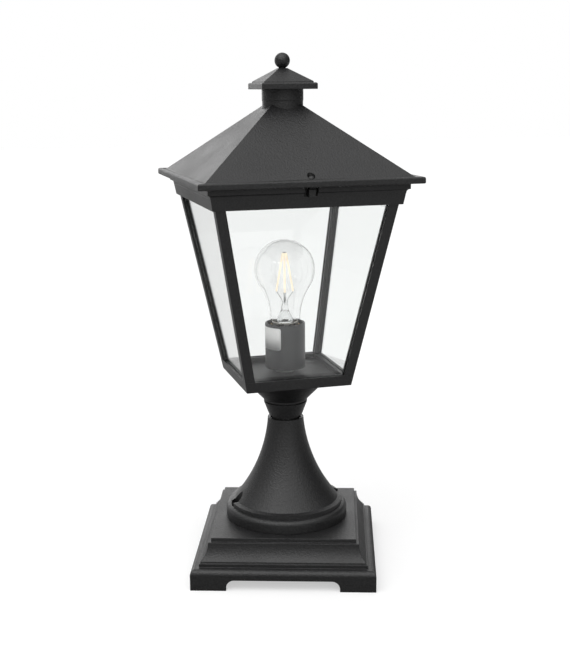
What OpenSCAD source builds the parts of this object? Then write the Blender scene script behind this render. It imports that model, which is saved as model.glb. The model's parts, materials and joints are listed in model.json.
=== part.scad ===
// Lantern table lamp: a tapered glazed lantern on a flared pillar and a moulded plinth with bracket
// feet. Millimetres, +Z up, origin at floor level under the centre of the plinth. The lantern is
// square to X and Y with its catch at the front, -Y, and the plinth is turned under it.

/* [Plinth] */
// Angle that the plinth is turned to from the lantern, in degrees
plinth_turn = -18.2; // [-45:0.1:45]
// Width of the foot slab, across the flats
slab_w = 180.6; // [172:0.2:190]
// Height of the foot slab, feet included
slab_h = 20.8; // [18:0.2:24]
// Radius of the slab's top edge
slab_edge_r = 5.4; // [3:0.1:7]
// Distance of the square step inside the slab's side
step_in = 8; // [6:0.1:9]
// Height of the step
step_h = 3.6; // [2:0.1:5]
// Distance of the moulding's lower fillet inside the step
fillet_in = 1.5; // [1:0.1:3]
// Height of the fillet
fillet_h = 1.6; // [1:0.1:3]
// Height of the hollow moulding
cove_h = 16.7; // [14:0.1:20]
// Depth of the hollow moulding, from the fillet inwards
cove_in = 7.1; // [6:0.1:9]
// Distance of the top plate inside the hollow moulding
plate_in = 2.7; // [2:0.1:4]
// Height of the top plate's edge
plate_h = 4; // [3:0.1:6]
// Metal thickness of the plinth casting
plinth_wall = 4; // [3:0.1:5]
// Length of a bracket foot along each side
foot_len = 35; // [28:0.5:42]
// Height of the arch between the feet
arch_h = 10.8; // [8:0.1:13]
// Radius of the arch's upper corners
arch_r = 8; // [5:0.5:8]

/* [Swivel] */
// Diameter of the hollow spindle that the lamp turns on
spindle_d = 30; // [28:0.5:34]
// Width of the boss round the spindle's bore
bore_boss_w = 11; // [8:0.5:14]
// Diameter of the cable way through the spindle
cableway_d = 20; // [16:0.5:22]
// Radial running clearance of the spindle in the plinth
spindle_gap = 0.08; // [0.03:0.01:0.1]
// Gap between parts that turn past each other
turn_gap = 0.3; // [0.3:0.05:0.5]
// Distance of the swivel plate inside the pillar's flange
plate_inset = 18; // [17:0.5:20]
// Thickness of the swivel plate
swivel_plate_t = 4; // [3:0.5:5]
// Screws that hold the swivel plate to the pillar
plate_screws_n = 4; // [3:1:4]

/* [Pillar] */
// Diameter of the flange's rounded roll
flange_d = 124; // [118:0.5:128]
// Height of the roll
roll_h = 13.3; // [12:0.1:15]
// Radius of the roll's top edge
roll_r = 5; // [4:0.1:5]
// Distance of the flange's upper step inside the roll
ledge_in = 5; // [4:0.1:6]
// Height of the upper step
ledge_h = 4; // [3:0.1:5]
// Height of the pillar
pillar_h = 103.5; // [98:0.5:112]
// Diameter of the pillar's rim
rim_d = 36.2; // [35:0.1:38]
// Distance of the flare's foot inside the upper step
flare_in = 4.2; // [3:0.1:6]
// Height of the flare's centre above the rim
flare_rise = 11.8; // [10:0.1:14]
// Metal thickness of the pillar casting
pillar_wall = 4; // [3:0.1:5]
// Metal thickness round the socket in the rim
rim_wall = 2.6; // [2:0.1:3]
// Depth of the socket in the rim
rim_bore_h = 6.2; // [5:0.1:8]
// Thickness of the web under the socket
web_t = 5; // [4:0.5:6]
// Distance of a screw pocket's centre inside the flange's roll
pocket_inset = 10; // [9.5:0.1:11]
// Diameter of a screw pocket
pocket_d = 11.5; // [10:0.1:12]
// Diameter of a fixing hole at the bottom of a pocket
fix_hole_d = 5.5; // [4.5:0.1:6]
// Thickness of the flange under a pocket
pocket_floor_t = 5; // [4:0.5:7]

/* [Collar] */
// Gap between the pillar's rim and the collar
collar_gap = 2.8; // [2:0.1:4]
// Height of the collar's cone
collar_h = 14; // [12:0.1:17]
// Distance of the cone's foot inside the pillar's rim
collar_foot_in = 1.3; // [1:0.1:1.6]
// Diameter at the top of the cone
collar_head_d = 44.2; // [43:0.1:45]
// Gap round the collar's spigot in the pillar's socket
spigot_gap = 1.1; // [0.6:0.1:1.5]
// Height of the shadow groove between collar and lantern
groove_h = 1.2; // [0.8:0.1:2]
// Depth of the shadow groove
groove_in = 1.9; // [1.5:0.1:2.4]
// Metal thickness of the collar
collar_wall = 3; // [2.6:0.1:3.2]

/* [Lantern body] */
// Height of the funnel under the lantern
funnel_h = 23.6; // [20:0.1:26]
// Height of the funnel's upright rim
funnel_rim_h = 1.6; // [1:0.1:3]
// Distance of the funnel's top inside the lantern's foot
funnel_in = 8.2; // [6:0.1:11]
// Metal thickness of the funnel
funnel_wall = 3.4; // [3:0.1:3.6]
// Width of the lantern at its foot
body_foot_w = 105; // [100:0.5:110]
// Width of the lantern across its posts under the cornice
body_head_w = 173.6; // [170:0.2:177]
// Height of the tapered body
body_h = 179.3; // [170:0.5:190]
// Width of a corner post on each face
post_w = 9.75; // [9:0.05:11]
// Height of the bottom rail
rail_h = 10.6; // [9:0.1:13]
// Thickness of the floor
floor_t = 6.2; // [5:0.1:7]
// Metal in front of the glass
face_t = 2.8; // [2.2:0.1:3]
// Thickness of the glass
glass_t = 3; // [2.5:0.1:3.2]
// Clearance on each side of a pane in its groove
glass_gap = 0.25; // [0.15:0.05:0.3]
// Depth that a pane reaches into the bottom rail
glass_bite = 4.6; // [3:0.1:5]

/* [Cornice] */
// Distance of the cornice's foot outside the posts
band_out = 3; // [2.5:0.1:4]
// Distance that the plain band leans out
band_lean = 2; // [1:0.1:3]
// Height of the plain band
band_h = 11.2; // [9:0.1:12]
// Distance of the top step outside the band
crown_out = 3.2; // [2.5:0.1:4]
// Height of the hollow between band and step
crown_cove_h = 3.1; // [2.5:0.1:4]
// Height of the cornice
cornice_h = 20.3; // [19:0.1:23]

/* [Catch and hinge] */
// Width of the notch round the catch lug
notch_w = 12.8; // [12:0.1:15]
// Height of the notch
notch_h = 9.6; // [8:0.1:10]
// Width of the catch lug
lug_w = 6.2; // [6:0.1:7]
// Distance of the catch screw's axis inside the cornice's face
catch_inset = 1.6; // [1.2:0.1:2]
// Diameter of the catch screw's shank
catch_d = 4; // [3.5:0.1:4.2]
// Diameter of the catch screw's head
catch_head_d = 6.6; // [6:0.1:7]
// Height of the catch screw's head
catch_head_h = 3.4; // [2.8:0.1:4]
// Length of the catch screw's shank
catch_len = 14.5; // [12:0.1:15]
// Radial clearance of the catch screw in the lug
catch_gap = 0.35; // [0.3:0.05:0.5]
// Distance of the hinge pins outside the cornice's face
hinge_out = 4.4; // [4:0.1:5]
// Distance of the hinge pins below the roof
hinge_drop = 4.4; // [4.2:0.1:5]
// Diameter of a hinge pin
pin_d = 3; // [2.5:0.1:3.2]
// Radial running clearance of a hinge pin in the roof's knuckle
pin_gap = 0.06; // [0.02:0.01:0.1]
// Diameter of a hinge knuckle
knuckle_d = 6.8; // [6.4:0.1:7]
// Width of a hinge, outer knuckles included
hinge_w = 24; // [20:0.5:30]
// Distance between the two hinges
hinge_span = 96; // [80:1:110]

/* [Roof] */
// Distance of the eaves outside the cornice
eave_out = 10.4; // [9:0.1:13]
// Height of the eaves' upright edge
eave_edge_h = 1.6; // [1:0.1:2.5]
// Radius of the eaves' rounded edge
eave_r = 2.6; // [2:0.1:3]
// Distance of the pyramid's foot inside the eaves
pyramid_in = 7.9; // [6.5:0.1:9]
// Height of the pyramid's foot above the cornice
pyramid_foot_h = 5.5; // [5:0.1:6.5]
// Slope of the roof, in degrees
roof_pitch = 37.9; // [36:0.1:40]
// Metal thickness of the roof
roof_t = 3; // [2.6:0.1:3.4]
// Width of the rim that rests on the cornice
roof_rest_w = 12; // [10:0.5:14]
// Diameter of the roof's round top
roof_ring_d = 39.4; // [38:0.1:40]
// Height of the round top above the roof's faces
ring_rise = 7.5; // [6:0.1:12]

/* [Chimney cap] */
// Diameter of the chimney's neck
neck_d = 40; // [38:0.1:42]
// Height of the neck
neck_h = 10.8; // [9:0.1:13]
// Metal thickness of the neck
neck_wall = 4; // [3:0.1:5]
// Width of the cap's slab
cap_w = 54.4; // [52:0.2:58]
// Height of the cap's slab
cap_h = 6.1; // [5:0.1:7]
// Radius of the slab's top edge
cap_edge_r = 1.6; // [1:0.1:2]
// Width of the cap's small pyramid
cap_top_w = 48.2; // [46:0.2:50]
// Height of the step under the small pyramid
cap_lip_h = 1.2; // [0.8:0.1:2]
// Height of the small pyramid
cap_top_h = 12.4; // [10:0.1:14]
// Width of the small pyramid's blunt tip
cap_tip_w = 8; // [7:0.1:9]
// Diameter of the ball on top
ball_d = 14.8; // [13:0.1:17]
// Diameter of the stud under the ball
stud_d = 5; // [4:0.1:6]

/* [Lampholder] */
// Outer diameter of the lampholder's shell
shell_d = 40; // [39:0.1:42]
// Height of the shell
shell_h = 45.4; // [43:0.1:48]
// Wall of the shell
shell_t = 2.2; // [1.8:0.1:2.4]
// Gap between the lantern's floor and the shell
shell_lift = 5; // [5:0.1:7]
// Height of the bulb's contact above the foot of the lampholder
bulb_seat_h = 22.9; // [21:0.1:24]
// Diameter of the threaded tube that clamps the lamp together
tube_d = 10; // [9.5:0.1:10.5]
// Bore of the threaded tube
tube_bore_d = 7; // [6.6:0.1:7.2]
// Width across the flats of the tube's nuts
tube_nut_w = 17; // [15:0.5:18]

/* [Bulb] */
// Diameter of the glass bulb
bulb_d = 60; // [55:0.5:62]
// Length of the bulb from its contact to its top
bulb_len = 105.7; // [103:0.1:110]
// Diameter of the bulb's neck
bulb_neck_d = 30.6; // [29:0.1:32]
// Thickness of the bulb's glass
bulb_glass_t = 0.8; // [0.6:0.1:1]
// Diameter of the screw cap
screw_cap_d = 26.4; // [26:0.1:26.6]
// Height of the screw cap's shell
screw_cap_h = 19.5; // [18:0.1:20]
// Height of the insulator and contact under the shell
screw_cap_foot_h = 5; // [4.5:0.1:6]
// Number of glowing rods in the bulb
rods_n = 4; // [2:1:6]
// Length of a glowing rod
rod_len = 39; // [36:0.5:41]
// Diameter of a glowing rod
rod_d = 2; // [1.6:0.1:2.4]
// Height of the rods' tops above the middle of the bulb's ball
rods_rise = 16.5; // [14:0.1:18]
// Angle that the rods are turned to, in degrees
rods_turn = -15; // [-90:1:90]

/* [Hidden] */
$fn = 96;
cut = 0.5;
WIRE_SIDES = 8;
black = [0.16, 0.16, 0.165];
steel = [0.66, 0.67, 0.68];
brass = [0.78, 0.66, 0.38];

// Widths, from the slab and the flange inwards and from the posts outwards
step_w = slab_w - 2 * step_in;
fillet_w = step_w - 2 * fillet_in;
cove_top_w = fillet_w - 2 * cove_in;
plate_w = cove_top_w - 2 * plate_in;
ledge_d = flange_d - 2 * ledge_in;
flare_foot_d = ledge_d - 2 * flare_in;
swivel_plate_d = flange_d - 2 * plate_inset;
pocket_span = flange_d - 2 * pocket_inset;
rim_bore_d = rim_d - 2 * rim_wall;
spigot_d = rim_bore_d - 2 * spigot_gap;
collar_foot_d = rim_d - 2 * collar_foot_in;
groove_d = collar_head_d - 2 * groove_in;
funnel_head_d = body_foot_w - 2 * funnel_in;
band_foot_w = body_head_w + 2 * band_out;
band_head_w = band_foot_w + 2 * band_lean;
crown_w = band_head_w + 2 * crown_out;
eave_w = crown_w + 2 * eave_out;
pyramid_w = eave_w - 2 * pyramid_in;
roof_slope = tan(roof_pitch);
reach = 2 * (eave_w + slab_w);

// Levels from the floor up
step_z = slab_h;
fillet_z = step_z + step_h;
cove_z = fillet_z + fillet_h;
plate_z = cove_z + cove_h;
plinth_h = plate_z + plate_h;
pillar_z = plinth_h + turn_gap;
rim_z = plinth_h + pillar_h;
web_z = rim_z - rim_bore_h - web_t;
collar_z = rim_z + collar_gap;
groove_z = collar_z + collar_h;
funnel_z = groove_z + groove_h;
body_z = funnel_z + funnel_h;
floor_z = body_z + floor_t;
rail_z = body_z + rail_h;
cornice_z = body_z + body_h;
eave_z = cornice_z + cornice_h;
pyramid_z = eave_z + pyramid_foot_h;
chimney_z = pyramid_z + (pyramid_w - roof_ring_d) / 2 * roof_slope + ring_rise;
cap_z = chimney_z + neck_h;
tip_z = cap_z + cap_h + cap_lip_h + cap_top_h;

// Plinth and swivel
cove_r = (pow(cove_h, 2) + pow((fillet_w - cove_top_w) / 2, 2)) / (fillet_w - cove_top_w);
hollow_top_z = plinth_h - plinth_wall - 1;
hollow_top_w = plate_w - 2 * plinth_wall;
bore_boss_d = spindle_d + 2 * bore_boss_w;
bore_boss_h = 3;
bore_boss_z = hollow_top_z - bore_boss_h;
washer_t = 1.6;
washer_d = spindle_d + 16;
clamp_nut_h = 7;
clamp_nut_w = spindle_d + 14;
washer_z = bore_boss_z - turn_gap - washer_t;
clamp_nut_z = washer_z - clamp_nut_h;
spindle_foot_z = clamp_nut_z - 3;
swivel_plate_z = pillar_z;
plate_screw_pcd = swivel_plate_d - 10;
plate_screw_d = 3.5;
plate_screw_head_d = 6.6;
plate_screw_len = 12;
gland_flange_h = 4;
gland_stub_h = 8;
gland_nut_h = 7;
gland_d = cableway_d + 6;
cable_d = 8;
gland_z = spindle_foot_z - gland_flange_h;

// Pillar
rim_r = rim_d / 2;
roll_top_z = plinth_h + roll_h;
ledge_z = roll_top_z + ledge_h;
ledge_slope_h = 1.3;
flare_foot_z = ledge_z + ledge_slope_h;
flare_z = rim_z + flare_rise;
flare_foot_r = flare_foot_d / 2;
flare_x = (pow(flare_foot_r, 2) + pow(flare_z - flare_foot_z, 2) - pow(rim_r, 2) - pow(flare_rise, 2))
    / 2 / (flare_foot_r - rim_r);
flare_r = norm([flare_x - rim_r, flare_rise]);
pocket_wall = 3;
rebate_z = swivel_plate_z + swivel_plate_t;
screw_boss_d = 11;
screw_boss_h = 10;

// Collar and stem
funnel_bore_d = collar_head_d - 2 * funnel_wall;
spigot_z = rim_z - rim_bore_h;
stem_foot_z = web_z - 10;
tube_gap = 0.4;
stem_nut_h = 7;

// Lantern body
body_slope = (body_head_w - body_foot_w) / 2 / body_h;
lean = atan(body_slope);
glass_run = glass_t / cos(lean);
groove_run = glass_run + 2 * glass_gap;
seat = face_t + groove_run + 0.2;
groove_foot_z = rail_z - glass_bite;
pane_in = face_t + glass_gap;
pane_z = groove_foot_z + 0.3;
pane_top_z = cornice_z + band_h + 2;
function body_half(z) = body_foot_w / 2 + (z - body_z) * body_slope;

// Cornice, catch and hinge
catch_y = crown_w / 2 - catch_inset;
hinge_y = crown_w / 2 + hinge_out;
crown_z = cornice_z + band_h + crown_cove_h;
notch_z = eave_z - notch_h;
notch_back_y = catch_y - catch_d / 2 - 2.2;
lug_front_y = catch_y + catch_d / 2 + 1.8;
lug_top_z = eave_z - 0.8;
hinge_z = eave_z - hinge_drop;
knuckle_gap = 0.3;
knuckle_w = hinge_w / 3;

// Roof
roof_hollow_w = crown_w - 2 * roof_rest_w;
hollow_apex_z = pyramid_z + pyramid_w / 2 * roof_slope - roof_t / cos(roof_pitch);
ring_foot_z = hollow_apex_z - roof_ring_d / 2 * roof_slope;
ring_plate_t = 3.5;
ring_plate_z = chimney_z - ring_plate_t;
stud_gap = 0.4;
catch_seat_z = pyramid_z - 0.3;
catch_ring_t = 0.8;
catch_ring_gap = 0.2;
spot_face_gap = 1.2;
catch_ring_d = catch_d + 2;
finial_nut_h = 4;
finial_nut_w = 8;

// Lampholder and bulb
holder_z = floor_z + shell_lift;
holder_base_h = 14;
holder_base_t = 6;
holder_flange_t = 2;
shell_bore_d = shell_d - 2 * shell_t;
insert_z = holder_z + holder_base_h;
terminal_x = 10;
terminal_d = 4;
bulb_z = holder_z + bulb_seat_h;
screw_cap_z = bulb_z + screw_cap_foot_h;
screw_cap_top_z = screw_cap_z + screw_cap_h;
contact_z = bulb_z - 2.6;
contact_pocket_d = screw_cap_d - 6.4;
terminal_h = contact_z - insert_z - 1;
sleeve_gap = 0.5;
sleeve_t = 0.6;
sleeve_d = screw_cap_d + 2 * sleeve_gap + 2 * sleeve_t;
sleeve_foot_z = screw_cap_z - 1;
bulb_centre_z = bulb_z + bulb_len - bulb_d / 2;
neck_z = screw_cap_top_z + 2;
neck_arc_r = (pow(bulb_centre_z - neck_z, 2) + pow(bulb_neck_d / 2, 2) - pow(bulb_d / 2, 2))
    / (bulb_d - bulb_neck_d);
neck_arc_x = bulb_neck_d / 2 + neck_arc_r;
rods_top_z = bulb_centre_z + rods_rise;
rods_top_r = 1.6;
rods_foot_r = 8.3;
rod_lean = asin((rods_foot_r - rods_top_r) / rod_len);
rods_foot_z = rods_top_z - rod_len * cos(rod_lean);
press_z = neck_z + 9;
press_h = 5;
post_z = press_z + press_h + 1;
wire_rise = 5;

// Wiring inside the pillar
lead_d = 2;
lead_pitch = 7;
earth_y = 16;
earth_tag_t = 1;
earth_tag_w = 9;
earth_screw_y = earth_y + 8;
earth_screw_d = 4;
tube_run_r = 1.9;
bracket_t = 1.5;
block_w = 22;
block_t = 13;
block_h = 16;
block_y = 14;
block_z = rebate_z + 9;
block_top_z = block_z + block_h;
terminal_screw_d = 3.4;
terminal_screw_len = 4.4;
terminal_screw_gap = 0.1;
terminal_screw_rise = 4.5;

// ---------- shared shapes ----------

// A square moulding: its outline, given in the XZ plane, mitred at the four corners
module mitred() {
    intersection() {
        rotate([90, 0, 0]) linear_extrude(reach, center = true) children();
        rotate([90, 0, 90]) linear_extrude(reach, center = true) children();
    }
}

// A centred band of an outline, w wide, from z0 up to z1
module band(w, z0, z1) {
    translate([-w / 2, z0]) square([w, z1 - z0]);
}

// A centred band of an outline that tapers from w0 at z0 to w1 at z1
module taper(w0, w1, z0, z1) {
    polygon([[-w0 / 2, z0], [w0 / 2, z0], [w1 / 2, z1], [-w1 / 2, z1]]);
}

// The lantern's own taper, drawn in by inset on each side
module body_taper(inset, z0, z1) {
    taper(2 * (body_half(z0) - inset), 2 * (body_half(z1) - inset), z0, z1);
}

// A tube or ring on the lamp's axis
module ring(d, bore, z0, z1) {
    translate([0, 0, z0]) difference() {
        cylinder(d = d, h = z1 - z0);
        translate([0, 0, -cut]) cylinder(d = bore, h = z1 - z0 + 2 * cut);
    }
}

// A hexagon nut on the lamp's axis, w across the flats
module hex_nut(w, bore, z0, h) {
    translate([0, 0, z0]) difference() {
        cylinder(d = w / cos(30), h = h, $fn = 6);
        translate([0, 0, -cut]) cylinder(d = bore, h = h + 2 * cut);
    }
}

// A wire through a list of points: a ring of corners at each, square to the run there. The reference
// direction never lies along the wire.
function unit(v) = v / norm(v);
function heading(p, i) = unit((i > 0 ? unit(p[i] - p[i - 1]) : [0, 0, 0])
    + (i < len(p) - 1 ? unit(p[i + 1] - p[i]) : [0, 0, 0]));
function wire_ring(centre, along, d, reference) =
    let (side = unit(cross(reference, along)), up = cross(along, side))
    [for (k = [0:WIRE_SIDES - 1]) centre
        + d / 2 * (cos(k * 360 / WIRE_SIDES) * side + sin(k * 360 / WIRE_SIDES) * up)];

module wire(points, d, reference) {
    last = len(points) - 1;
    n = WIRE_SIDES;
    corners = [for (i = [0:last]) each wire_ring(points[i], heading(points, i), d, reference)];
    sides = [for (i = [0:last - 1], k = [0:n - 1]) let (a = i * n + k, b = i * n + (k + 1) % n)
        each [[a, a + n, b], [b, a + n, b + n]]];
    ends = [for (k = [1:n - 2]) each [[0, k, k + 1], [last * n, last * n + k + 1, last * n + k]]];
    polyhedron(points = corners, faces = concat(sides, ends), convexity = 4);
}

// ---------- plinth ----------

module plinth_outline() {
    band(slab_w, 0, slab_h - slab_edge_r);
    band(slab_w - 2 * slab_edge_r, 0, slab_h);
    for (s = [-1, 1]) translate([s * (slab_w / 2 - slab_edge_r), slab_h - slab_edge_r]) circle(slab_edge_r);
    band(step_w, 0, fillet_z);
    band(fillet_w, 0, cove_z);
    difference() {
        band(fillet_w, 0, plate_z);
        for (s = [-1, 1]) translate([s * (cove_top_w / 2 + cove_r), plate_z]) circle(cove_r, $fn = 128);
    }
    band(plate_w, 0, plinth_h);
}

module plinth_hollow() {
    band(slab_w - 2 * plinth_wall, -cut, slab_h - plinth_wall);
    taper(fillet_w - 2 * plinth_wall, hollow_top_w, slab_h - plinth_wall - cut, hollow_top_z);
}

module arch_outline() {
    w = slab_w - 2 * foot_len;
    band(w, -cut, arch_h - arch_r);
    band(w - 2 * arch_r, -cut, arch_h);
    for (s = [-1, 1]) translate([s * (w / 2 - arch_r), arch_h - arch_r]) circle(arch_r);
}

module plinth() {
    color(black) rotate([0, 0, plinth_turn]) difference() {
        union() {
            difference() {
                mitred() plinth_outline();
                mitred() plinth_hollow();
            }
            translate([0, 0, bore_boss_z]) cylinder(d = bore_boss_d, h = plinth_h - bore_boss_z - cut);
        }
        for (turn = [0, 90]) rotate([90, 0, turn]) linear_extrude(reach, center = true) arch_outline();
        translate([0, 0, -cut]) cylinder(d = spindle_d + 2 * spindle_gap, h = plinth_h + 2 * cut);
    }
}

// ---------- swivel ----------

module swivel_plate() {
    color(steel) difference() {
        union() {
            translate([0, 0, swivel_plate_z]) cylinder(d = swivel_plate_d, h = swivel_plate_t);
            translate([0, 0, spindle_foot_z])
                cylinder(d = spindle_d, h = swivel_plate_z + cut - spindle_foot_z);
        }
        translate([0, 0, spindle_foot_z - cut]) cylinder(d = cableway_d, h = reach);
        translate([0, -earth_screw_y, swivel_plate_z - cut]) cylinder(d = earth_screw_d, h = reach);
        plate_screw_places() {
            translate([0, 0, swivel_plate_z - cut]) cylinder(d = plate_screw_d, h = swivel_plate_t + 2 * cut);
            translate([0, 0, swivel_plate_z - cut]) cylinder(d = plate_screw_head_d, h = 2 + cut);
        }
    }
}

module plate_screw_places() {
    for (i = [0:plate_screws_n - 1]) rotate([0, 0, 45 + i * 360 / plate_screws_n])
        translate([plate_screw_pcd / 2, 0, 0]) children();
}

module plate_screws() {
    color(steel) plate_screw_places() difference() {
        union() {
            translate([0, 0, swivel_plate_z + 0.2]) cylinder(d = plate_screw_head_d, h = 1.8);
            translate([0, 0, swivel_plate_z + 0.2]) cylinder(d = plate_screw_d, h = plate_screw_len);
        }
        for (turn = [0, 90]) rotate([0, 0, turn])
            translate([-2, -0.4, swivel_plate_z]) cube([4, 0.8, 1.2]);
    }
}

module wave_washer() {
    color(steel) ring(washer_d, spindle_d + 0.6, washer_z, washer_z + washer_t);
}

module clamp_nut() {
    color(steel) hex_nut(clamp_nut_w, spindle_d, clamp_nut_z, clamp_nut_h);
}

module cable_gland() {
    color(black) difference() {
        union() {
            hex_nut(gland_d, cable_d, gland_z, gland_flange_h);
            ring(cableway_d, cable_d, gland_z + gland_flange_h - cut, spindle_foot_z + gland_stub_h);
            ring(cableway_d - 2, cable_d, gland_z - gland_nut_h + 1, gland_z + cut);
        }
        translate([0, 0, gland_z - gland_nut_h]) cylinder(d = cable_d, h = reach);
    }
}

module gland_nut() {
    color(black) difference() {
        hex_nut(gland_d, cable_d + 1, gland_z - gland_nut_h, gland_nut_h);
        translate([0, 0, gland_z - gland_nut_h + 1]) cylinder(d = cableway_d - 2, h = gland_nut_h);
    }
}

// ---------- pillar ----------

// Half outline inside the flare, drawn in by the wall where the core is
module flare_outline(wall, z0, z1) {
    difference() {
        translate([0, z0]) square([flare_x, z1 - z0]);
        translate([flare_x, flare_z]) circle(flare_r + wall, $fn = 256);
    }
}

module pillar_outline() {
    translate([0, pillar_z]) square([flange_d / 2, roll_top_z - roll_r - pillar_z]);
    translate([0, pillar_z]) square([flange_d / 2 - roll_r, roll_top_z - pillar_z]);
    translate([flange_d / 2 - roll_r, roll_top_z - roll_r]) circle(roll_r);
    polygon([
        [0, pillar_z], [ledge_d / 2, pillar_z], [ledge_d / 2, ledge_z],
        [flare_foot_r, flare_foot_z], [0, flare_foot_z],
    ]);
    flare_outline(0, flare_foot_z - cut, rim_z);
}

module pillar_core() {
    intersection() {
        rotate_extrude($fn = 128) flare_outline(pillar_wall, rebate_z - cut, web_z);
        cylinder(d = swivel_plate_d - 2, h = web_z);
    }
}

module pocket_places() {
    for (s = [-1, 1]) translate([s * pocket_span / 2, 0, 0]) children();
}

module pillar() {
    color(black) difference() {
        rotate_extrude($fn = 128) pillar_outline();
        translate([0, 0, pillar_z - cut]) cylinder(d = swivel_plate_d + 0.2, h = swivel_plate_t + cut);
        difference() {
            pillar_core();
            pocket_places() cylinder(d = pocket_d + 2 * pocket_wall, h = rim_z);
            plate_screw_places() translate([0, 0, rebate_z - cut])
                cylinder(d = screw_boss_d, h = screw_boss_h);
        }
        plate_screw_places() translate([0, 0, rebate_z - cut]) cylinder(d = plate_screw_d, h = screw_boss_h);
        pocket_places() {
            translate([0, 0, pillar_z + pocket_floor_t]) cylinder(d = pocket_d, h = pillar_h);
            translate([0, 0, pillar_z - cut]) cylinder(d = fix_hole_d, h = pocket_floor_t + 2 * cut);
        }
        translate([0, 0, rim_z - rim_bore_h]) cylinder(d = rim_bore_d, h = rim_bore_h + cut);
        translate([0, 0, web_z - cut]) cylinder(d = tube_d + tube_gap, h = web_t + 2 * cut);
    }
}

// ---------- wiring ----------

module terminal_bracket() {
    w = block_w + 2;
    color(steel) translate([-w / 2, block_y + block_t / 2, rebate_z]) {
        cube([w, 9, bracket_t]);
        cube([w, bracket_t, block_top_z - rebate_z]);
    }
}

// Two clamping screws for each of the three leads
module terminal_screw_places() {
    for (i = [-1:1], s = [-1, 1])
        translate([i * lead_pitch, block_y, block_z + block_h / 2 + s * terminal_screw_rise])
            rotate([90, 0, 0]) children();
}

module terminal_block() {
    color("ivory") difference() {
        translate([-block_w / 2, block_y - block_t / 2, block_z]) cube([block_w, block_t, block_h]);
        for (i = [-1:1]) translate([i * lead_pitch, block_y, block_z - cut])
            cylinder(d = lead_d + 0.6, h = block_h + 2 * cut);
        terminal_screw_places() translate([0, 0, lead_d / 2])
            cylinder(d = terminal_screw_d + 2 * terminal_screw_gap, h = block_t);
    }
}

module terminal_screws() {
    color(brass) terminal_screw_places() difference() {
        translate([0, 0, lead_d / 2]) cylinder(d = terminal_screw_d, h = terminal_screw_len);
        translate([-terminal_screw_d, -0.3, lead_d / 2 + terminal_screw_len - 0.6])
            cube([2 * terminal_screw_d, 0.6, 0.6 + cut]);
    }
}

// A live lead from its terminal, up through the tube and into the lampholder's insert
module live_lead(side, angle) {
    tube_x = tube_run_r * cos(angle);
    tube_y = tube_run_r * sin(angle);
    wire([
        [side * lead_pitch, block_y, block_top_z - 5],
        [side * lead_pitch, block_y, block_top_z + 8],
        [tube_x, tube_y, web_z - 12],
        [tube_x, tube_y, holder_z + 7],
        [side * terminal_x, 0, insert_z - 2],
        [side * terminal_x, 0, insert_z + terminal_h],
    ], lead_d, [0, 1, 0]);
}

module lead_live() { color("saddlebrown") live_lead(-1, 200); }
module lead_neutral() { color("royalblue") live_lead(1, -20); }

// The earth lead, over the block and down to its screw on the swivel plate
module lead_earth() {
    color("yellowgreen") wire([
        [0, block_y, block_top_z - 5], [0, block_y, block_top_z + 3], [0, block_y - 5, block_top_z + 7],
        [0, block_y - 12, block_top_z + 5], [0, -earth_y + 4, rebate_z + 14], [0, -earth_y, rebate_z + 6],
        [0, -earth_y, rebate_z + earth_tag_t],
    ], lead_d, [1, 0, 0]);
}

module earth_tag() {
    color(brass) translate([0, -earth_screw_y, rebate_z]) difference() {
        union() {
            cylinder(d = earth_tag_w, h = earth_tag_t);
            translate([0, earth_screw_y - earth_y, 0]) cylinder(d = earth_tag_w, h = earth_tag_t);
            translate([-earth_tag_w / 2, 0, 0]) cube([earth_tag_w, earth_screw_y - earth_y, earth_tag_t]);
        }
        translate([0, 0, -cut]) cylinder(d = earth_screw_d, h = earth_tag_t + 2 * cut);
    }
}

module earth_screw() {
    color(steel) translate([0, -earth_screw_y, 0]) difference() {
        union() {
            translate([0, 0, swivel_plate_z])
                cylinder(d = earth_screw_d, h = swivel_plate_t + earth_tag_t + 1);
            translate([0, 0, rebate_z + earth_tag_t]) cylinder(d = 7, h = 2.6);
        }
        translate([-3, -0.4, rebate_z + earth_tag_t + 1.6]) cube([6, 0.8, 2]);
    }
}

// ---------- stem and collar ----------

module stem_tube() {
    color(steel) ring(tube_d, tube_bore_d, stem_foot_z, holder_z + 6);
}

module stem_nut_lower() {
    color(steel) hex_nut(tube_nut_w, tube_d, web_z - stem_nut_h, stem_nut_h);
}

module stem_nut_upper() {
    color(steel) hex_nut(tube_nut_w, tube_d, floor_z, shell_lift - 0.5);
}

module collar() {
    color(black) difference() {
        rotate_extrude() polygon([
            [0, spigot_z], [spigot_d / 2, spigot_z], [spigot_d / 2, collar_z], [collar_foot_d / 2, collar_z],
            [collar_head_d / 2, groove_z], [groove_d / 2, groove_z], [groove_d / 2, funnel_z],
            [funnel_bore_d / 2 - 0.2, funnel_z], [funnel_bore_d / 2 - 0.2, funnel_z + 2], [0, funnel_z + 2],
        ]);
        rotate_extrude() polygon([
            [0, spigot_z + 4], [spigot_d / 2 - collar_wall, spigot_z + 4],
            [spigot_d / 2 - collar_wall, collar_z + 1], [groove_d / 2 - collar_wall - 1, groove_z],
            [groove_d / 2 - collar_wall - 1, funnel_z + 2 + cut], [0, funnel_z + 2 + cut],
        ]);
        translate([0, 0, spigot_z - cut]) cylinder(d = tube_d + tube_gap, h = 6);
    }
}

// ---------- lantern body ----------

module funnel() {
    cavity_z = floor_z - 7;
    rim_top_z = funnel_z + funnel_rim_h;
    difference() {
        rotate_extrude() polygon([
            [0, funnel_z], [collar_head_d / 2, funnel_z], [collar_head_d / 2, rim_top_z],
            [funnel_head_d / 2, body_z + cut], [0, body_z + cut],
        ]);
        rotate_extrude() polygon([
            [0, funnel_z - cut], [funnel_bore_d / 2, funnel_z - cut], [funnel_bore_d / 2, rim_top_z],
            [funnel_head_d / 2 - 5, cavity_z], [0, cavity_z],
        ]);
    }
}

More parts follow.
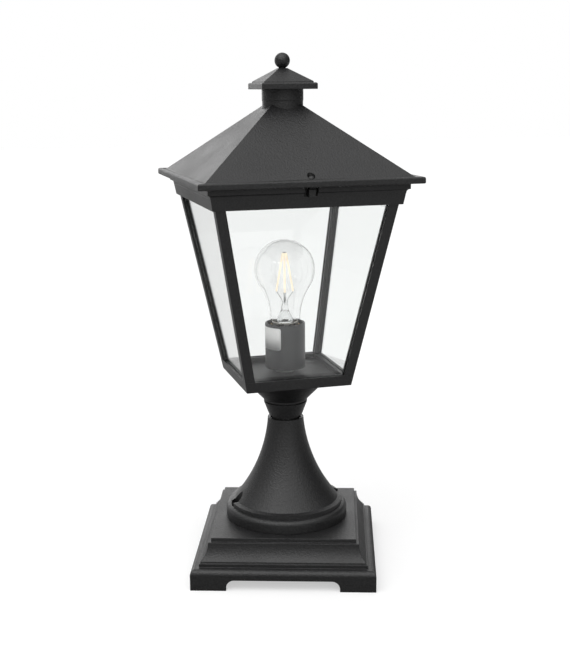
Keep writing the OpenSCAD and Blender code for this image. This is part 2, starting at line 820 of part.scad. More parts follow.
// A sheet that leans with the front face, from near to far behind it, edge short of the corners
module leaning_sheet(near, far, edge, z0, z1) {
    intersection() {
        rotate([90, 0, 90]) linear_extrude(reach, center = true) polygon([
            [near - body_half(z0), z0], [far - body_half(z0), z0],
            [far - body_half(z1), z1], [near - body_half(z1), z1],
        ]);
        rotate([90, 0, 0]) linear_extrude(reach, center = true) body_taper(edge, z0, z1);
    }
}

module glass_grooves(z0, z1) {
    for (turn = [0:90:270]) rotate([0, 0, turn])
        leaning_sheet(face_t, face_t + groove_run, seat, z0, z1);
}

module lantern_base() {
    color(black) difference() {
        union() {
            mitred() body_taper(0, body_z, rail_z);
            funnel();
        }
        mitred() body_taper(post_w, floor_z, rail_z + cut);
        glass_grooves(groove_foot_z, rail_z + cut);
        translate([0, 0, funnel_z]) cylinder(d = tube_d + tube_gap, h = reach);
    }
}

module corner_posts() {
    color(black) difference() {
        mitred() body_taper(0, rail_z, cornice_z);
        for (turn = [0, 90]) rotate([90, 0, turn]) linear_extrude(reach, center = true)
            body_taper(post_w, rail_z - cut, cornice_z + cut);
        glass_grooves(rail_z - cut, cornice_z + cut);
    }
}

module cornice_outline() {
    taper(band_foot_w, band_head_w, cornice_z, cornice_z + band_h);
    difference() {
        band(crown_w, cornice_z + band_h - cut, crown_z);
        for (s = [-1, 1]) translate([s * crown_w / 2, cornice_z + band_h]) circle(crown_cove_h);
    }
    band(crown_w, crown_z, eave_z);
}

// One hinge: the frame's two outer knuckles, with the web that carries them
module frame_knuckles() {
    for (s = [-1, 1]) translate([s * (knuckle_w + knuckle_gap / 2), 0, 0]) {
        w = knuckle_w - knuckle_gap;
        translate([0, hinge_y, hinge_z]) rotate([0, 90, 0]) cylinder(d = knuckle_d, h = w, center = true);
        translate([-w / 2, crown_w / 2 - 1, hinge_z - knuckle_d / 2])
            cube([w, hinge_y - crown_w / 2 + 1, knuckle_d - 1]);
    }
}

module hinge_places() {
    for (s = [-1, 1]) translate([s * hinge_span / 2, 0, 0]) children();
}

module cornice() {
    color(black) difference() {
        union() {
            difference() {
                mitred() cornice_outline();
                mitred() body_taper(post_w, cornice_z - cut, eave_z + cut);
                translate([-notch_w / 2, -crown_w / 2 - cut, notch_z])
                    cube([notch_w, crown_w / 2 + cut - notch_back_y, notch_h + cut]);
            }
            translate([-lug_w / 2, -lug_front_y, notch_z - cut])
                cube([lug_w, lug_front_y - notch_back_y + cut, lug_top_z - notch_z + cut]);
            hinge_places() frame_knuckles();
        }
        glass_grooves(cornice_z - cut, eave_z + cut);
        translate([0, -catch_y, catch_seat_z - catch_len - 1])
            cylinder(d = catch_d + 2 * catch_gap, h = catch_len);
        hinge_places() translate([-hinge_w, hinge_y, hinge_z]) rotate([0, 90, 0])
            cylinder(d = pin_d, h = 2 * hinge_w);
    }
}

module hinge_pins() {
    color(steel) hinge_places() translate([-hinge_w / 2 - 0.6, hinge_y, hinge_z]) rotate([0, 90, 0])
        cylinder(d = pin_d, h = hinge_w + 1.2);
}

// A pane on the face that is turned this far from the front
module pane(turn) {
    color([0.85, 0.9, 0.9, 0.35]) rotate([0, 0, turn])
        leaning_sheet(pane_in, pane_in + glass_run, seat + glass_gap, pane_z, pane_top_z);
}

module glass_front() { pane(0); }
module glass_right() { pane(90); }
module glass_back() { pane(180); }
module glass_left() { pane(270); }

// ---------- lampholder ----------

module holder_base() {
    color(black) difference() {
        union() {
            translate([0, 0, holder_z]) cylinder(d = shell_d, h = holder_flange_t);
            translate([0, 0, holder_z]) cylinder(d = shell_bore_d, h = holder_base_h);
        }
        translate([0, 0, holder_z + holder_base_t]) cylinder(d = shell_bore_d - 4, h = holder_base_h);
        translate([0, 0, holder_z - cut]) cylinder(d = tube_d, h = holder_base_h);
    }
}

module holder_shell() {
    color([0.2, 0.2, 0.21]) ring(shell_d, shell_bore_d, holder_z + holder_flange_t, holder_z + shell_h);
}

module holder_insert() {
    color("whitesmoke") difference() {
        translate([0, 0, insert_z]) cylinder(d = shell_bore_d, h = sleeve_foot_z - insert_z);
        translate([0, 0, contact_z]) cylinder(d = contact_pocket_d, h = reach);
        for (s = [-1, 1]) translate([s * terminal_x, 0, insert_z - cut])
            cylinder(d = terminal_d, h = terminal_h + cut);
    }
}

module thread_sleeve() {
    color(brass) {
        ring(sleeve_d, sleeve_d - 2 * sleeve_t, sleeve_foot_z, screw_cap_top_z - 4);
        ring(sleeve_d, sleeve_d - 6, sleeve_foot_z, sleeve_foot_z + sleeve_t);
    }
}

module centre_contact() {
    color(brass) {
        translate([-3, -3, contact_z]) cube([11, 6, 0.8]);
        translate([0, 0, contact_z]) cylinder(d = 5, h = bulb_z - turn_gap - contact_z);
    }
}

// ---------- bulb ----------

module screw_cap() {
    color(steel) difference() {
        translate([0, 0, screw_cap_z]) cylinder(d = screw_cap_d, h = screw_cap_h);
        translate([0, 0, screw_cap_z + 1]) cylinder(d = screw_cap_d - 1, h = screw_cap_h);
        translate([0, 0, screw_cap_z - cut]) cylinder(d = screw_cap_d - 8, h = 3);
    }
}

module cap_insulator() {
    color([0.1, 0.1, 0.12]) rotate_extrude() polygon([
        [3.5, bulb_z + 1.6], [5.5, bulb_z + 1.6], [screw_cap_d / 2 - 3, screw_cap_z],
        [screw_cap_d / 2 - 4, screw_cap_z], [screw_cap_d / 2 - 4, screw_cap_z + 1], [3.5, screw_cap_z + 1],
    ]);
}

module cap_contact() {
    color(steel) rotate_extrude() polygon([
        [0, bulb_z], [3, bulb_z], [4.4, bulb_z + 1.6], [3.5, bulb_z + 1.6], [3.5, screw_cap_z],
        [0, screw_cap_z],
    ]);
}

// Half outline of the bulb's glass, drawn in by t
module bulb_outline(t) {
    foot_z = screw_cap_top_z - 3.5;
    share = bulb_d / (bulb_d + 2 * neck_arc_r);
    neck_top_x = neck_arc_x * share;
    neck_top_z = bulb_centre_z - (bulb_centre_z - neck_z) * share;
    intersection() {
        translate([0, foot_z]) square([bulb_d, bulb_len]);
        union() {
            translate([0, bulb_centre_z]) circle(bulb_d / 2 - t, $fn = 128);
            difference() {
                translate([0, neck_z]) square([neck_top_x, neck_top_z - neck_z]);
                translate([neck_arc_x, neck_z]) circle(neck_arc_r + t, $fn = 256);
            }
            polygon([
                [0, foot_z - cut], [screw_cap_d / 2 - 0.6 - t, foot_z - cut],
                [screw_cap_d / 2 - 0.6 - t, screw_cap_top_z], [bulb_neck_d / 2 - t, neck_z], [0, neck_z],
            ]);
        }
    }
}

module bulb_glass() {
    color([0.95, 0.95, 0.95, 0.3]) rotate_extrude($fn = 128) difference() {
        bulb_outline(0);
        bulb_outline(bulb_glass_t);
    }
}

// The glass flare in the neck, its press and the rod that stands on it
module bulb_stem() {
    color([0.9, 0.93, 0.93, 0.5]) rotate_extrude() polygon([
        [0, neck_z - 4], [bulb_neck_d / 2 - 5, neck_z - 4], [6, neck_z + 3], [3.6, press_z],
        [3.2, press_z + press_h], [1.6, post_z], [1.3, rods_top_z - rod_len], [0, rods_top_z - rod_len],
    ]);
}

module rod_places() {
    for (i = [0:rods_n - 1]) rotate([0, 0, rods_turn + i * 360 / rods_n]) children();
}

module glow_rods() {
    color([1, 0.8, 0.5]) rod_places() translate([rods_top_r, 0, rods_top_z]) rotate([0, 180 - rod_lean, 0])
        cylinder(d = rod_d, h = rod_len, $fn = 32);
}

module rod_wires() {
    color([0.3, 0.3, 0.3]) {
        translate([0, 0, rods_top_z - 0.4]) cylinder(d = 2 * rods_top_r, h = 1.2);
        rod_places() wire([
            [2.2, 0, post_z - 2], [2.4, 0, post_z + wire_rise - 1],
            [5, 0, rods_foot_z - wire_rise], [rods_foot_r, 0, rods_foot_z + 0.4],
        ], 0.6, [0, 1, 0]);
    }
}

// ---------- roof ----------

module roof_outline() {
    half = eave_w / 2;
    polygon([
        [-half, eave_z], [half, eave_z], [half, eave_z + eave_edge_h],
        [half - eave_r, eave_z + eave_edge_h + eave_r - 0.2], [pyramid_w / 2, pyramid_z],
        [-pyramid_w / 2, pyramid_z], [eave_r - half, eave_z + eave_edge_h + eave_r - 0.2],
        [-half, eave_z + eave_edge_h],
    ]);
    for (s = [-1, 1]) translate([s * (half - eave_r), eave_z + eave_edge_h]) circle(eave_r);
    polygon([
        [-pyramid_w / 2, pyramid_z - cut], [pyramid_w / 2, pyramid_z - cut], [pyramid_w / 2, pyramid_z],
        [0, pyramid_z + pyramid_w / 2 * roof_slope], [-pyramid_w / 2, pyramid_z],
    ]);
}

module roof_hollow() {
    side_z = hollow_apex_z - roof_hollow_w / 2 * roof_slope;
    polygon([
        [-roof_hollow_w / 2, eave_z - cut], [roof_hollow_w / 2, eave_z - cut],
        [roof_hollow_w / 2, side_z], [0, hollow_apex_z], [-roof_hollow_w / 2, side_z],
    ]);
}

// The roof's middle knuckles. Their square heels meet the cornice when the roof is thrown back.
module roof_knuckles() {
    w = knuckle_w - knuckle_gap;
    hinge_places() translate([0, hinge_y, hinge_z]) {
        rotate([0, 90, 0]) cylinder(d = knuckle_d, h = w, center = true);
        translate([-w / 2, -knuckle_d / 2, 0]) cube([w, knuckle_d, hinge_drop + 1]);
        translate([-w / 2, 0, -knuckle_d / 2]) cube([w, knuckle_d / 2, knuckle_d / 2 + cut]);
    }
}

module roof() {
    color(black) difference() {
        union() {
            difference() {
                intersection() {
                    mitred() roof_outline();
                    translate([0, 0, eave_z]) linear_extrude(chimney_z - eave_z)
                        square(eave_w + cut, center = true);
                }
                difference() {
                    mitred() roof_hollow();
                    translate([0, 0, ring_plate_z]) cylinder(d = roof_hollow_w, h = reach);
                }
            }
            difference() {
                translate([0, 0, ring_foot_z]) cylinder(d = roof_ring_d, h = chimney_z - ring_foot_z);
                translate([0, 0, ring_foot_z - cut])
                    cylinder(d = roof_ring_d - 2 * roof_t, h = ring_plate_z - ring_foot_z + cut);
            }
            roof_knuckles();
        }
        translate([0, 0, ring_foot_z]) cylinder(d = stud_d + stud_gap, h = reach);
        translate([0, -catch_y, eave_z - cut]) cylinder(d = catch_d + 2 * pin_gap, h = reach);
        translate([0, -catch_y, eave_z - cut])
            cylinder(d = catch_ring_d + 1, h = catch_ring_t + 2 * catch_ring_gap + cut);
        translate([0, -catch_y, catch_seat_z]) cylinder(d = catch_head_d + 2 * spot_face_gap, h = reach);
        hinge_places() translate([-hinge_w, hinge_y, hinge_z]) rotate([0, 90, 0])
            cylinder(d = pin_d + 2 * pin_gap, h = 2 * hinge_w);
    }
}

module cap_outline() {
    w = cap_w - 2 * cap_edge_r;
    top_z = cap_z + cap_h;
    band(cap_w, cap_z, top_z - cap_edge_r);
    band(w, cap_z, top_z);
    for (s = [-1, 1]) translate([s * w / 2, top_z - cap_edge_r]) circle(cap_edge_r);
    band(cap_top_w, cap_z, top_z + cap_lip_h);
    taper(cap_top_w, cap_tip_w, top_z + cap_lip_h, tip_z);
}

module chimney_cap() {
    color(black) difference() {
        union() {
            mitred() cap_outline();
            translate([0, 0, chimney_z]) cylinder(d = neck_d, h = neck_h + 1);
        }
        translate([0, 0, chimney_z - cut]) cylinder(d = neck_d - 2 * neck_wall, h = neck_h - 2 + cut);
        translate([0, 0, chimney_z - cut]) cylinder(d = stud_d, h = reach);
    }
}

module finial() {
    ball_z = tip_z + ball_d / 2 - 0.4;
    color(black) {
        translate([0, 0, ball_z]) sphere(d = ball_d);
        translate([0, 0, tip_z]) cylinder(d = cap_tip_w - 1, h = 2);
    }
    color(steel) translate([0, 0, ring_plate_z - finial_nut_h - 2])
        cylinder(d = stud_d, h = ball_z - ring_plate_z + finial_nut_h);
}

module finial_nut() {
    color(steel) hex_nut(finial_nut_w, stud_d, ring_plate_z - finial_nut_h, finial_nut_h);
}

module catch_screw() {
    color(black) translate([0, -catch_y, catch_seat_z]) difference() {
        union() {
            translate([0, 0, -catch_len]) cylinder(d = catch_d, h = catch_len + catch_head_h / 2);
            intersection() {
                translate([0, 0, 0.1]) cylinder(d = catch_head_d, h = catch_head_h);
                translate([0, 0, catch_head_h - catch_head_d * 0.55]) sphere(d = catch_head_d * 1.1);
            }
        }
        translate([0, 0, catch_head_h - 1.6]) cylinder(d = 2.6 / cos(30), h = 4, $fn = 6);
    }
}

module catch_ring() {
    color("dimgray") translate([0, -catch_y, 0])
        ring(catch_ring_d, catch_d, eave_z + catch_ring_gap, eave_z + catch_ring_gap + catch_ring_t);
}

plinth();
swivel_plate();
plate_screws();
wave_washer();
clamp_nut();
cable_gland();
gland_nut();
pillar();
terminal_bracket();
terminal_block();
terminal_screws();
lead_live();
lead_neutral();
lead_earth();
earth_tag();
earth_screw();
stem_tube();
stem_nut_lower();
stem_nut_upper();
collar();
lantern_base();
corner_posts();
cornice();
hinge_pins();
glass_front();
glass_right();
glass_back();
glass_left();
holder_base();
holder_shell();
holder_insert();
thread_sleeve();
centre_contact();
screw_cap();
cap_insulator();
cap_contact();
bulb_glass();
bulb_stem();
glow_rods();
rod_wires();
roof();
chimney_cap();
finial();
finial_nut();
catch_screw();
catch_ring();
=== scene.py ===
"""Looks of the lantern table lamp: its finishes, its finely shaped pieces, and the studio round it.

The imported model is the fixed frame. Castings get softened edges, the bulb and the lampholder get their
real forms, and every piece gets a procedural finish. Shapes are in millimetres until they become pieces.
The finishes and the studio are in metres.
"""

from __future__ import annotations

import json
import logging
import math
from dataclasses import dataclass
from enum import Enum
from typing import Callable, ClassVar, Optional, Sequence

import bmesh
import bpy
from mathutils import Matrix, Vector

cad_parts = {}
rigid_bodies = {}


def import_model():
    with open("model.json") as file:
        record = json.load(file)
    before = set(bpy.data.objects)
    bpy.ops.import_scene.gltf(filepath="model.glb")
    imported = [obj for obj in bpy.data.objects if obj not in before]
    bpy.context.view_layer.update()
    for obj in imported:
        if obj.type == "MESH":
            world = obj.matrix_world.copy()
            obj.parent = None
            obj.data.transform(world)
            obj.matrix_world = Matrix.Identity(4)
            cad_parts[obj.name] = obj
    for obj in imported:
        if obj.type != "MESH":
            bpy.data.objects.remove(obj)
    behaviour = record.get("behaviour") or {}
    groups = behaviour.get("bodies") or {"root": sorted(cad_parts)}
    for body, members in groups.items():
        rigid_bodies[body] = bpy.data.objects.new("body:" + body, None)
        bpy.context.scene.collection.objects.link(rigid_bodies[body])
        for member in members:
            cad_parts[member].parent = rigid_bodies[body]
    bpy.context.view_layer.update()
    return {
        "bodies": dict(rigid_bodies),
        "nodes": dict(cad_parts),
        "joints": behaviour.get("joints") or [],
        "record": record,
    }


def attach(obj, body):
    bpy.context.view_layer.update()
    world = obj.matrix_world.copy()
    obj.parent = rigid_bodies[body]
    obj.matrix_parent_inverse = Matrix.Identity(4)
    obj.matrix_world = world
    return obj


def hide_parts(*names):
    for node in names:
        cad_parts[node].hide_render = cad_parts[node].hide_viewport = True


LOG = logging.getLogger("lantern_lamp")
MM = 0.001
Triple = tuple[float, float, float]
Colour = Triple
Point = tuple[float, float]
# A plane is a place on it and its normal.
Seams = Sequence[tuple[Triple, Triple]]
Socket = bpy.types.NodeSocket
Shape = bmesh.types.BMesh

MIDDLE: Triple = (0.0, 0.0, 0.0)
UPRIGHT: Triple = (0.0, 0.0, 1.0)
WHITE = (1.0, 1.0, 1.0, 1.0)
# In millimetres: corners nearer than these are one, in turned shapes, in CAD meshes and along a cut.
WELD = 0.001
CAD_WELD = 0.002
CUT_SLACK = 0.0001
# In millimetres: how near a corner lies to a place that a shape names, and to a wall that gets a thread.
NEAR = 0.1
WALL_SLACK = 0.05
# In degrees: what turns less is flat, and what turns more than the second gets rounded.
FLAT_ANGLE = 0.6
SHARP_ANGLE = 24.0


class Body(Enum):
    """The lamp's rigid bodies."""

    BASE = "base"
    LAMP = "lamp"
    CONTACT = "contact"
    BULB = "bulb"
    ROOF = "roof"
    CATCH = "catch"


class Slot(Enum):
    """The record's material slots."""

    BLACK_PAINT = "black_paint"
    ZINC_STEEL = "zinc_steel"
    BRASS = "brass"
    PANE_GLASS = "pane_glass"
    BULB_GLASS = "bulb_glass"
    STEM_GLASS = "stem_glass"
    GLOW_ROD = "glow_rod"
    CAP_NICKEL = "cap_nickel"
    BLACK_INSULATOR = "black_insulator"
    HOLDER_PLASTIC = "holder_plastic"
    HOLDER_CERAMIC = "holder_ceramic"
    BLACK_NYLON = "black_nylon"
    IVORY_PLASTIC = "ivory_plastic"
    BROWN_SLEEVE = "brown_sleeve"
    BLUE_SLEEVE = "blue_sleeve"
    EARTH_SLEEVE = "earth_sleeve"
    RUBBER_RING = "rubber_ring"


# ---------------------------------------------------------------- shader building


class Sketch:
    """A node tree that is drawn a node at a time."""

    def __init__(self, tree: bpy.types.NodeTree) -> None:
        """Starts on a tree.

        Args:
            tree: the material's, world's or group's node tree.
        """
        self.tree = tree

    def add(self, kind: str, settings: Optional[dict] = None, **inputs: object) -> bpy.types.Node:
        """Adds a node, sets it up and wires its inputs.

        Args:
            kind: the node's type name, without the word ShaderNode.
            settings: attributes of the node itself.
            inputs: values or output sockets, by the input's name, with _ for a space.

        Returns:
            The new node.
        """
        node = self.tree.nodes.new("ShaderNode" + kind)
        for key, value in (settings or {}).items():
            setattr(node, key, value)
        self.fill(node, **inputs)
        return node

    def fill(self, node: bpy.types.Node, **inputs: object) -> None:
        """Wires inputs of a node, named as in add."""
        for key, value in inputs.items():
            self.feed(node.inputs[key.replace("_", " ")], value)

    def feed(self, socket: Socket, value: object) -> None:
        """Links an output to a socket, or sets the socket's own value.

        Args:
            socket: the input.
            value: an output socket, or a plain value.
        """
        if isinstance(value, Socket):
            self.tree.links.new(value, socket)
        else:
            socket.default_value = value

    def maths(self, operation: str, first: object, second: object) -> Socket:
        """A number worked out from two others.

        Args:
            operation: the Math node's operation.
            first: an output socket or a number.
            second: the same.

        Returns:
            The result.
        """
        node = self.add("Math", {"operation": operation})
        self.feed(node.inputs[0], first)
        self.feed(node.inputs[1], second)
        return node.outputs[0]

    def ramp(self, value: object, low: float = 0.0, high: float = 1.0, to_low: float = 0.0,
             to_high: float = 1.0) -> Socket:
        """A number carried from one range to another, and kept inside it.

        Args:
            value: the number's output socket.
            low: start of its range.
            high: end of its range.
            to_low: what the start becomes.
            to_high: what the end becomes.

        Returns:
            The result.
        """
        node = self.add("MapRange", Value=value)
        for name, number in (("From Min", low), ("From Max", high), ("To Min", to_low), ("To Max", to_high)):
            node.inputs[name].default_value = number
        return node.outputs[0]

    def around(self, value: object, middle: float, less: float, more: float) -> Socket:
        """A number that swings round a middle one as a mask goes from 0 to 1."""
        return self.ramp(value, to_low=middle - less, to_high=middle + more)

    def blend(self, factor: object, first: object, second: object) -> Socket:
        """A colour between two others.

        Args:
            factor: 0 for the first and 1 for the second.
            first: an output socket or a colour.
            second: the same.

        Returns:
            The result.
        """
        node = self.add("Mix", {"data_type": "RGBA"})
        self.feed(node.inputs[0], factor)
        self.feed(node.inputs[6], first)
        self.feed(node.inputs[7], second)
        return node.outputs[2]

    def place(self) -> Socket:
        """The point on the piece, in its own coordinates."""
        return self.add("TexCoord").outputs["Object"]

    def bump(self, height: Socket, depth: float, strength: float) -> Socket:
        """The normal of a surface that rises and falls by a depth in metres."""
        return self.add("Bump", Height=height, Distance=depth, Strength=strength).outputs[0]

    def either_ray(self, first: str, second: str) -> Socket:
        """Whether the ray is of one of two kinds, by the Light Path node's names."""
        rays = self.add("LightPath").outputs
        return self.maths("MAXIMUM", rays[first], rays[second])

    def surface(self, shader: bpy.types.Node) -> None:
        """Makes a shader the material's own."""
        self.feed(self.tree.nodes["Material Output"].inputs["Surface"], shader.outputs[0])


def rgba(colour: Colour) -> tuple[float, float, float, float]:
    """A colour with full alpha."""
    return (*colour, 1.0)


def shader_group(name: str, inputs: dict[str, float], outputs: dict[str, str],
                 draw: Callable[[Sketch, bpy.types.Node, bpy.types.Node], None]) -> bpy.types.NodeTree:
    """Builds a shader node group once.

    Args:
        name: the group's name.
        inputs: its number inputs and their defaults.
        outputs: its outputs and their socket types.
        draw: fills the group from its input and output nodes.

    Returns:
        The group.
    """
    tree = bpy.data.node_groups.new(name, "ShaderNodeTree")
    for label, value in inputs.items():
        socket = tree.interface.new_socket(label, in_out="INPUT", socket_type="NodeSocketFloat")
        socket.default_value = value
    for label, kind in outputs.items():
        tree.interface.new_socket(label, in_out="OUTPUT", socket_type=kind)
    sketch = Sketch(tree)
    draw(sketch, tree.nodes.new("NodeGroupInput"), tree.nodes.new("NodeGroupOutput"))
    return tree


def draw_grain(sketch: Sketch, given: bpy.types.Node, result: bpy.types.Node) -> None:
    """Fine orange-peel grain over a slow unevenness, with a fleck mask.

    Args:
        sketch: the group's nodes.
        given: its input node.
        result: its output node.
    """
    pit_share = 0.6
    where = sketch.place()
    fine = sketch.add("TexNoise", Vector=where, Scale=given.outputs["Grain Scale"], Detail=2.0, Roughness=0.6)
    pits = sketch.add("TexVoronoi", Vector=where, Scale=given.outputs["Grain Scale"])
    slow = sketch.add("TexNoise", Vector=where, Scale=given.outputs["Patch Scale"], Detail=3.0, Roughness=0.5)
    dents = sketch.maths("MULTIPLY", pits.outputs["Distance"], pit_share)
    sketch.fill(result, Height=sketch.maths("ADD", fine.outputs["Fac"], dents),
                Fleck=sketch.ramp(fine.outputs["Fac"], low=0.35, high=0.68),
                Patch=sketch.ramp(slow.outputs["Fac"], low=0.3, high=0.7))


def draw_dust(sketch: Sketch, given: bpy.types.Node, result: bpy.types.Node) -> None:
    """A thin settled film where the surface looks up, broken by noise.

    Args:
        sketch: the group's nodes.
        given: its input node.
        result: its output node.
    """
    normal = sketch.add("NewGeometry").outputs["Normal"]
    up = sketch.add("SeparateXYZ", Vector=normal).outputs["Z"]
    cloud = sketch.add("TexNoise", Vector=sketch.place(), Scale=given.outputs["Scale"], Detail=4.0,
                       Roughness=0.6)
    cover = sketch.ramp(cloud.outputs["Fac"], low=0.3, high=0.75)
    film = sketch.maths("MULTIPLY", sketch.ramp(up, low=0.2), cover)
    sketch.fill(result, Film=sketch.maths("MULTIPLY", film, given.outputs["Amount"]))


def draw_turning(sketch: Sketch, given: bpy.types.Node, result: bpy.types.Node) -> None:
    """Fine rings round the lamp's axis, as a lathe or a rolled sheet leaves them.

    Args:
        sketch: the group's nodes.
        given: its input node.
        result: its output node.
    """
    stretched = (0.02, 0.02, 1.0)
    where = sketch.add("Mapping", Vector=sketch.place(), Scale=stretched).outputs[0]
    rings = sketch.add("TexNoise", Vector=where, Scale=given.outputs["Ring Scale"], Detail=2.0)
    stain = sketch.add("TexNoise", Vector=sketch.place(), Scale=given.outputs["Stain Scale"], Detail=4.0)
    sketch.fill(result, Height=rings.outputs["Fac"],
                Stain=sketch.ramp(stain.outputs["Fac"], low=0.35, high=0.7))


class Effects:
    """The shader groups that several finishes share."""

    def __init__(self) -> None:
        """Builds each group once."""
        number = "NodeSocketFloat"
        self.grain = shader_group("Grain", {"Grain Scale": 1500.0, "Patch Scale": 40.0},
                                  {"Height": number, "Fleck": number, "Patch": number}, draw_grain)
        self.dust = shader_group("Settled Dust", {"Scale": 60.0, "Amount": 0.2}, {"Film": number}, draw_dust)
        self.turning = shader_group("Turning Marks", {"Ring Scale": 1200.0, "Stain Scale": 90.0},
                                    {"Height": number, "Stain": number}, draw_turning)

    @staticmethod
    def use(sketch: Sketch, group: bpy.types.NodeTree, **inputs: float) -> bpy.types.Node:
        """Places a group in a material with its own values."""
        return sketch.add("Group", {"node_tree": group}, **inputs)


def new_material(name: str) -> tuple[bpy.types.Material, Sketch, bpy.types.Node]:
    """Starts a material.

    Args:
        name: the material's name.

    Returns:
        The material, a sketch on its nodes, and its Principled BSDF.
    """
    material = bpy.data.materials.new(name)
    material.use_nodes = True
    sketch = Sketch(material.node_tree)
    return material, sketch, material.node_tree.nodes["Principled BSDF"]


# ---------------------------------------------------------------- finishes


@dataclass(frozen=True)
class Finish:
    """A finish that makes one material."""

    name: str

    def material(self, effects: Effects) -> bpy.types.Material:
        """Builds the material.

        Args:
            effects: the shared shader groups.

        Returns:
            The material.
        """
        material, sketch, skin = new_material(self.name)
        self.paint(effects, sketch, skin)
        return material

    def paint(self, effects: Effects, sketch: Sketch, skin: bpy.types.Node) -> None:
        """Draws the finish.

        Args:
            effects: the shared shader groups.
            sketch: the material's nodes.
            skin: its Principled BSDF.
        """
        raise NotImplementedError


@dataclass(frozen=True)
class PowderCoat(Finish):
    """Black powder coat on cast aluminium: a fine grain with a satin sheen."""

    tone: Colour = (0.006, 0.006, 0.0062)
    fleck_gain: float = 2.6
    dust_tone: Colour = (0.04, 0.04, 0.04)
    dust: float = 0.16
    dust_roughness: float = 0.3
    roughness: float = 0.41
    smoother: float = 0.03
    rougher: float = 0.04
    grain_scale: float = 620.0
    grain_depth: float = 0.00045
    grain_strength: float = 0.7

    def paint(self, effects: Effects, sketch: Sketch, skin: bpy.types.Node) -> None:
        """Draws the grain and flecks, and the dust that dulls what looks up.

        Args:
            effects: the shared shader groups.
            sketch: the material's nodes.
            skin: its Principled BSDF.
        """
        grain = effects.use(sketch, effects.grain, Grain_Scale=self.grain_scale, Patch_Scale=26.0)
        film = effects.use(sketch, effects.dust, Scale=45.0, Amount=self.dust).outputs["Film"]
        light_tone = rgba(tuple(self.fleck_gain * v for v in self.tone))
        fleck = sketch.blend(grain.outputs["Fleck"], rgba(self.tone), light_tone)
        rough = sketch.around(grain.outputs["Patch"], self.roughness, self.smoother, self.rougher)
        dull = sketch.maths("MULTIPLY", film, self.dust_roughness)
        sketch.fill(skin, Base_Color=sketch.blend(film, fleck, rgba(self.dust_tone)),
                    Roughness=sketch.maths("ADD", rough, dull),
                    Normal=sketch.bump(grain.outputs["Height"], self.grain_depth, self.grain_strength))


@dataclass(frozen=True)
class Metal(Finish):
    """Bare or plated metal with turning marks and slight stains."""

    tone: Colour
    stain_tone: Colour
    roughness: float = 0.32
    smoother: float = 0.06
    rougher: float = 0.12
    mark_depth: float = 0.00002
    mark_strength: float = 0.5

    def paint(self, effects: Effects, sketch: Sketch, skin: bpy.types.Node) -> None:
        """Draws the marks, and the stains that darken and dull the metal.

        Args:
            effects: the shared shader groups.
            sketch: the material's nodes.
            skin: its Principled BSDF.
        """
        marks = effects.use(sketch, effects.turning, Ring_Scale=1400.0, Stain_Scale=80.0)
        stain = marks.outputs["Stain"]
        sketch.fill(skin, Base_Color=sketch.blend(stain, rgba(self.tone), rgba(self.stain_tone)),
                    Roughness=sketch.around(stain, self.roughness, self.smoother, self.rougher),
                    Normal=sketch.bump(marks.outputs["Height"], self.mark_depth, self.mark_strength),
                    Metallic=1.0)


@dataclass(frozen=True)
class Moulding(Finish):
    """A moulded plastic, ceramic, rubber or paper surface."""

    tone: Colour
    fleck_tone: Colour
    roughness: float = 0.5
    grain_scale: float = 900.0
    grain_depth: float = 0.00004
    grain_strength: float = 0.5
    fleck_share: float = 0.6
    smoother: float = 0.04
    rougher: float = 0.06

    def paint(self, effects: Effects, sketch: Sketch, skin: bpy.types.Node) -> None:
        """Draws the grain with its flecks.

        Args:
            effects: the shared shader groups.
            sketch: the material's nodes.
            skin: its Principled BSDF.
        """
        grain = effects.use(sketch, effects.grain, Grain_Scale=self.grain_scale, Patch_Scale=60.0)
        mask = sketch.maths("MULTIPLY", grain.outputs["Fleck"], self.fleck_share)
        rough = sketch.around(grain.outputs["Patch"], self.roughness, self.smoother, self.rougher)
        sketch.fill(skin, Base_Color=sketch.blend(mask, rgba(self.tone), rgba(self.fleck_tone)),
                    Roughness=rough,
                    Normal=sketch.bump(grain.outputs["Height"], self.grain_depth, self.grain_strength))


@dataclass(frozen=True)
class StripedSleeve(Finish):
    """Insulation in two colours, laid in slanting bands."""

    tone: Colour
    band_tone: Colour
    band_scale: float = 110.0
    band_slant: Triple = (0.5, 0.6, 0.0)

    def paint(self, effects: Effects, sketch: Sketch, skin: bpy.types.Node) -> None:
        """Draws the bands, on a slightly uneven sheen.

        Args:
            effects: the shared shader groups.
            sketch: the material's nodes.
            skin: its Principled BSDF.
        """
        turn = sketch.add("Mapping", Vector=sketch.place(), Rotation=self.band_slant).outputs[0]
        wave = sketch.add("TexWave", {"bands_direction": "X"}, Vector=turn, Scale=self.band_scale)
        bands = sketch.ramp(wave.outputs["Fac"], low=0.4, high=0.6)
        grain = effects.use(sketch, effects.grain, Grain_Scale=900.0, Patch_Scale=60.0)
        sketch.fill(skin, Base_Color=sketch.blend(bands, rgba(self.tone), rgba(self.band_tone)),
                    Roughness=sketch.ramp(grain.outputs["Patch"], to_low=0.36, to_high=0.46))


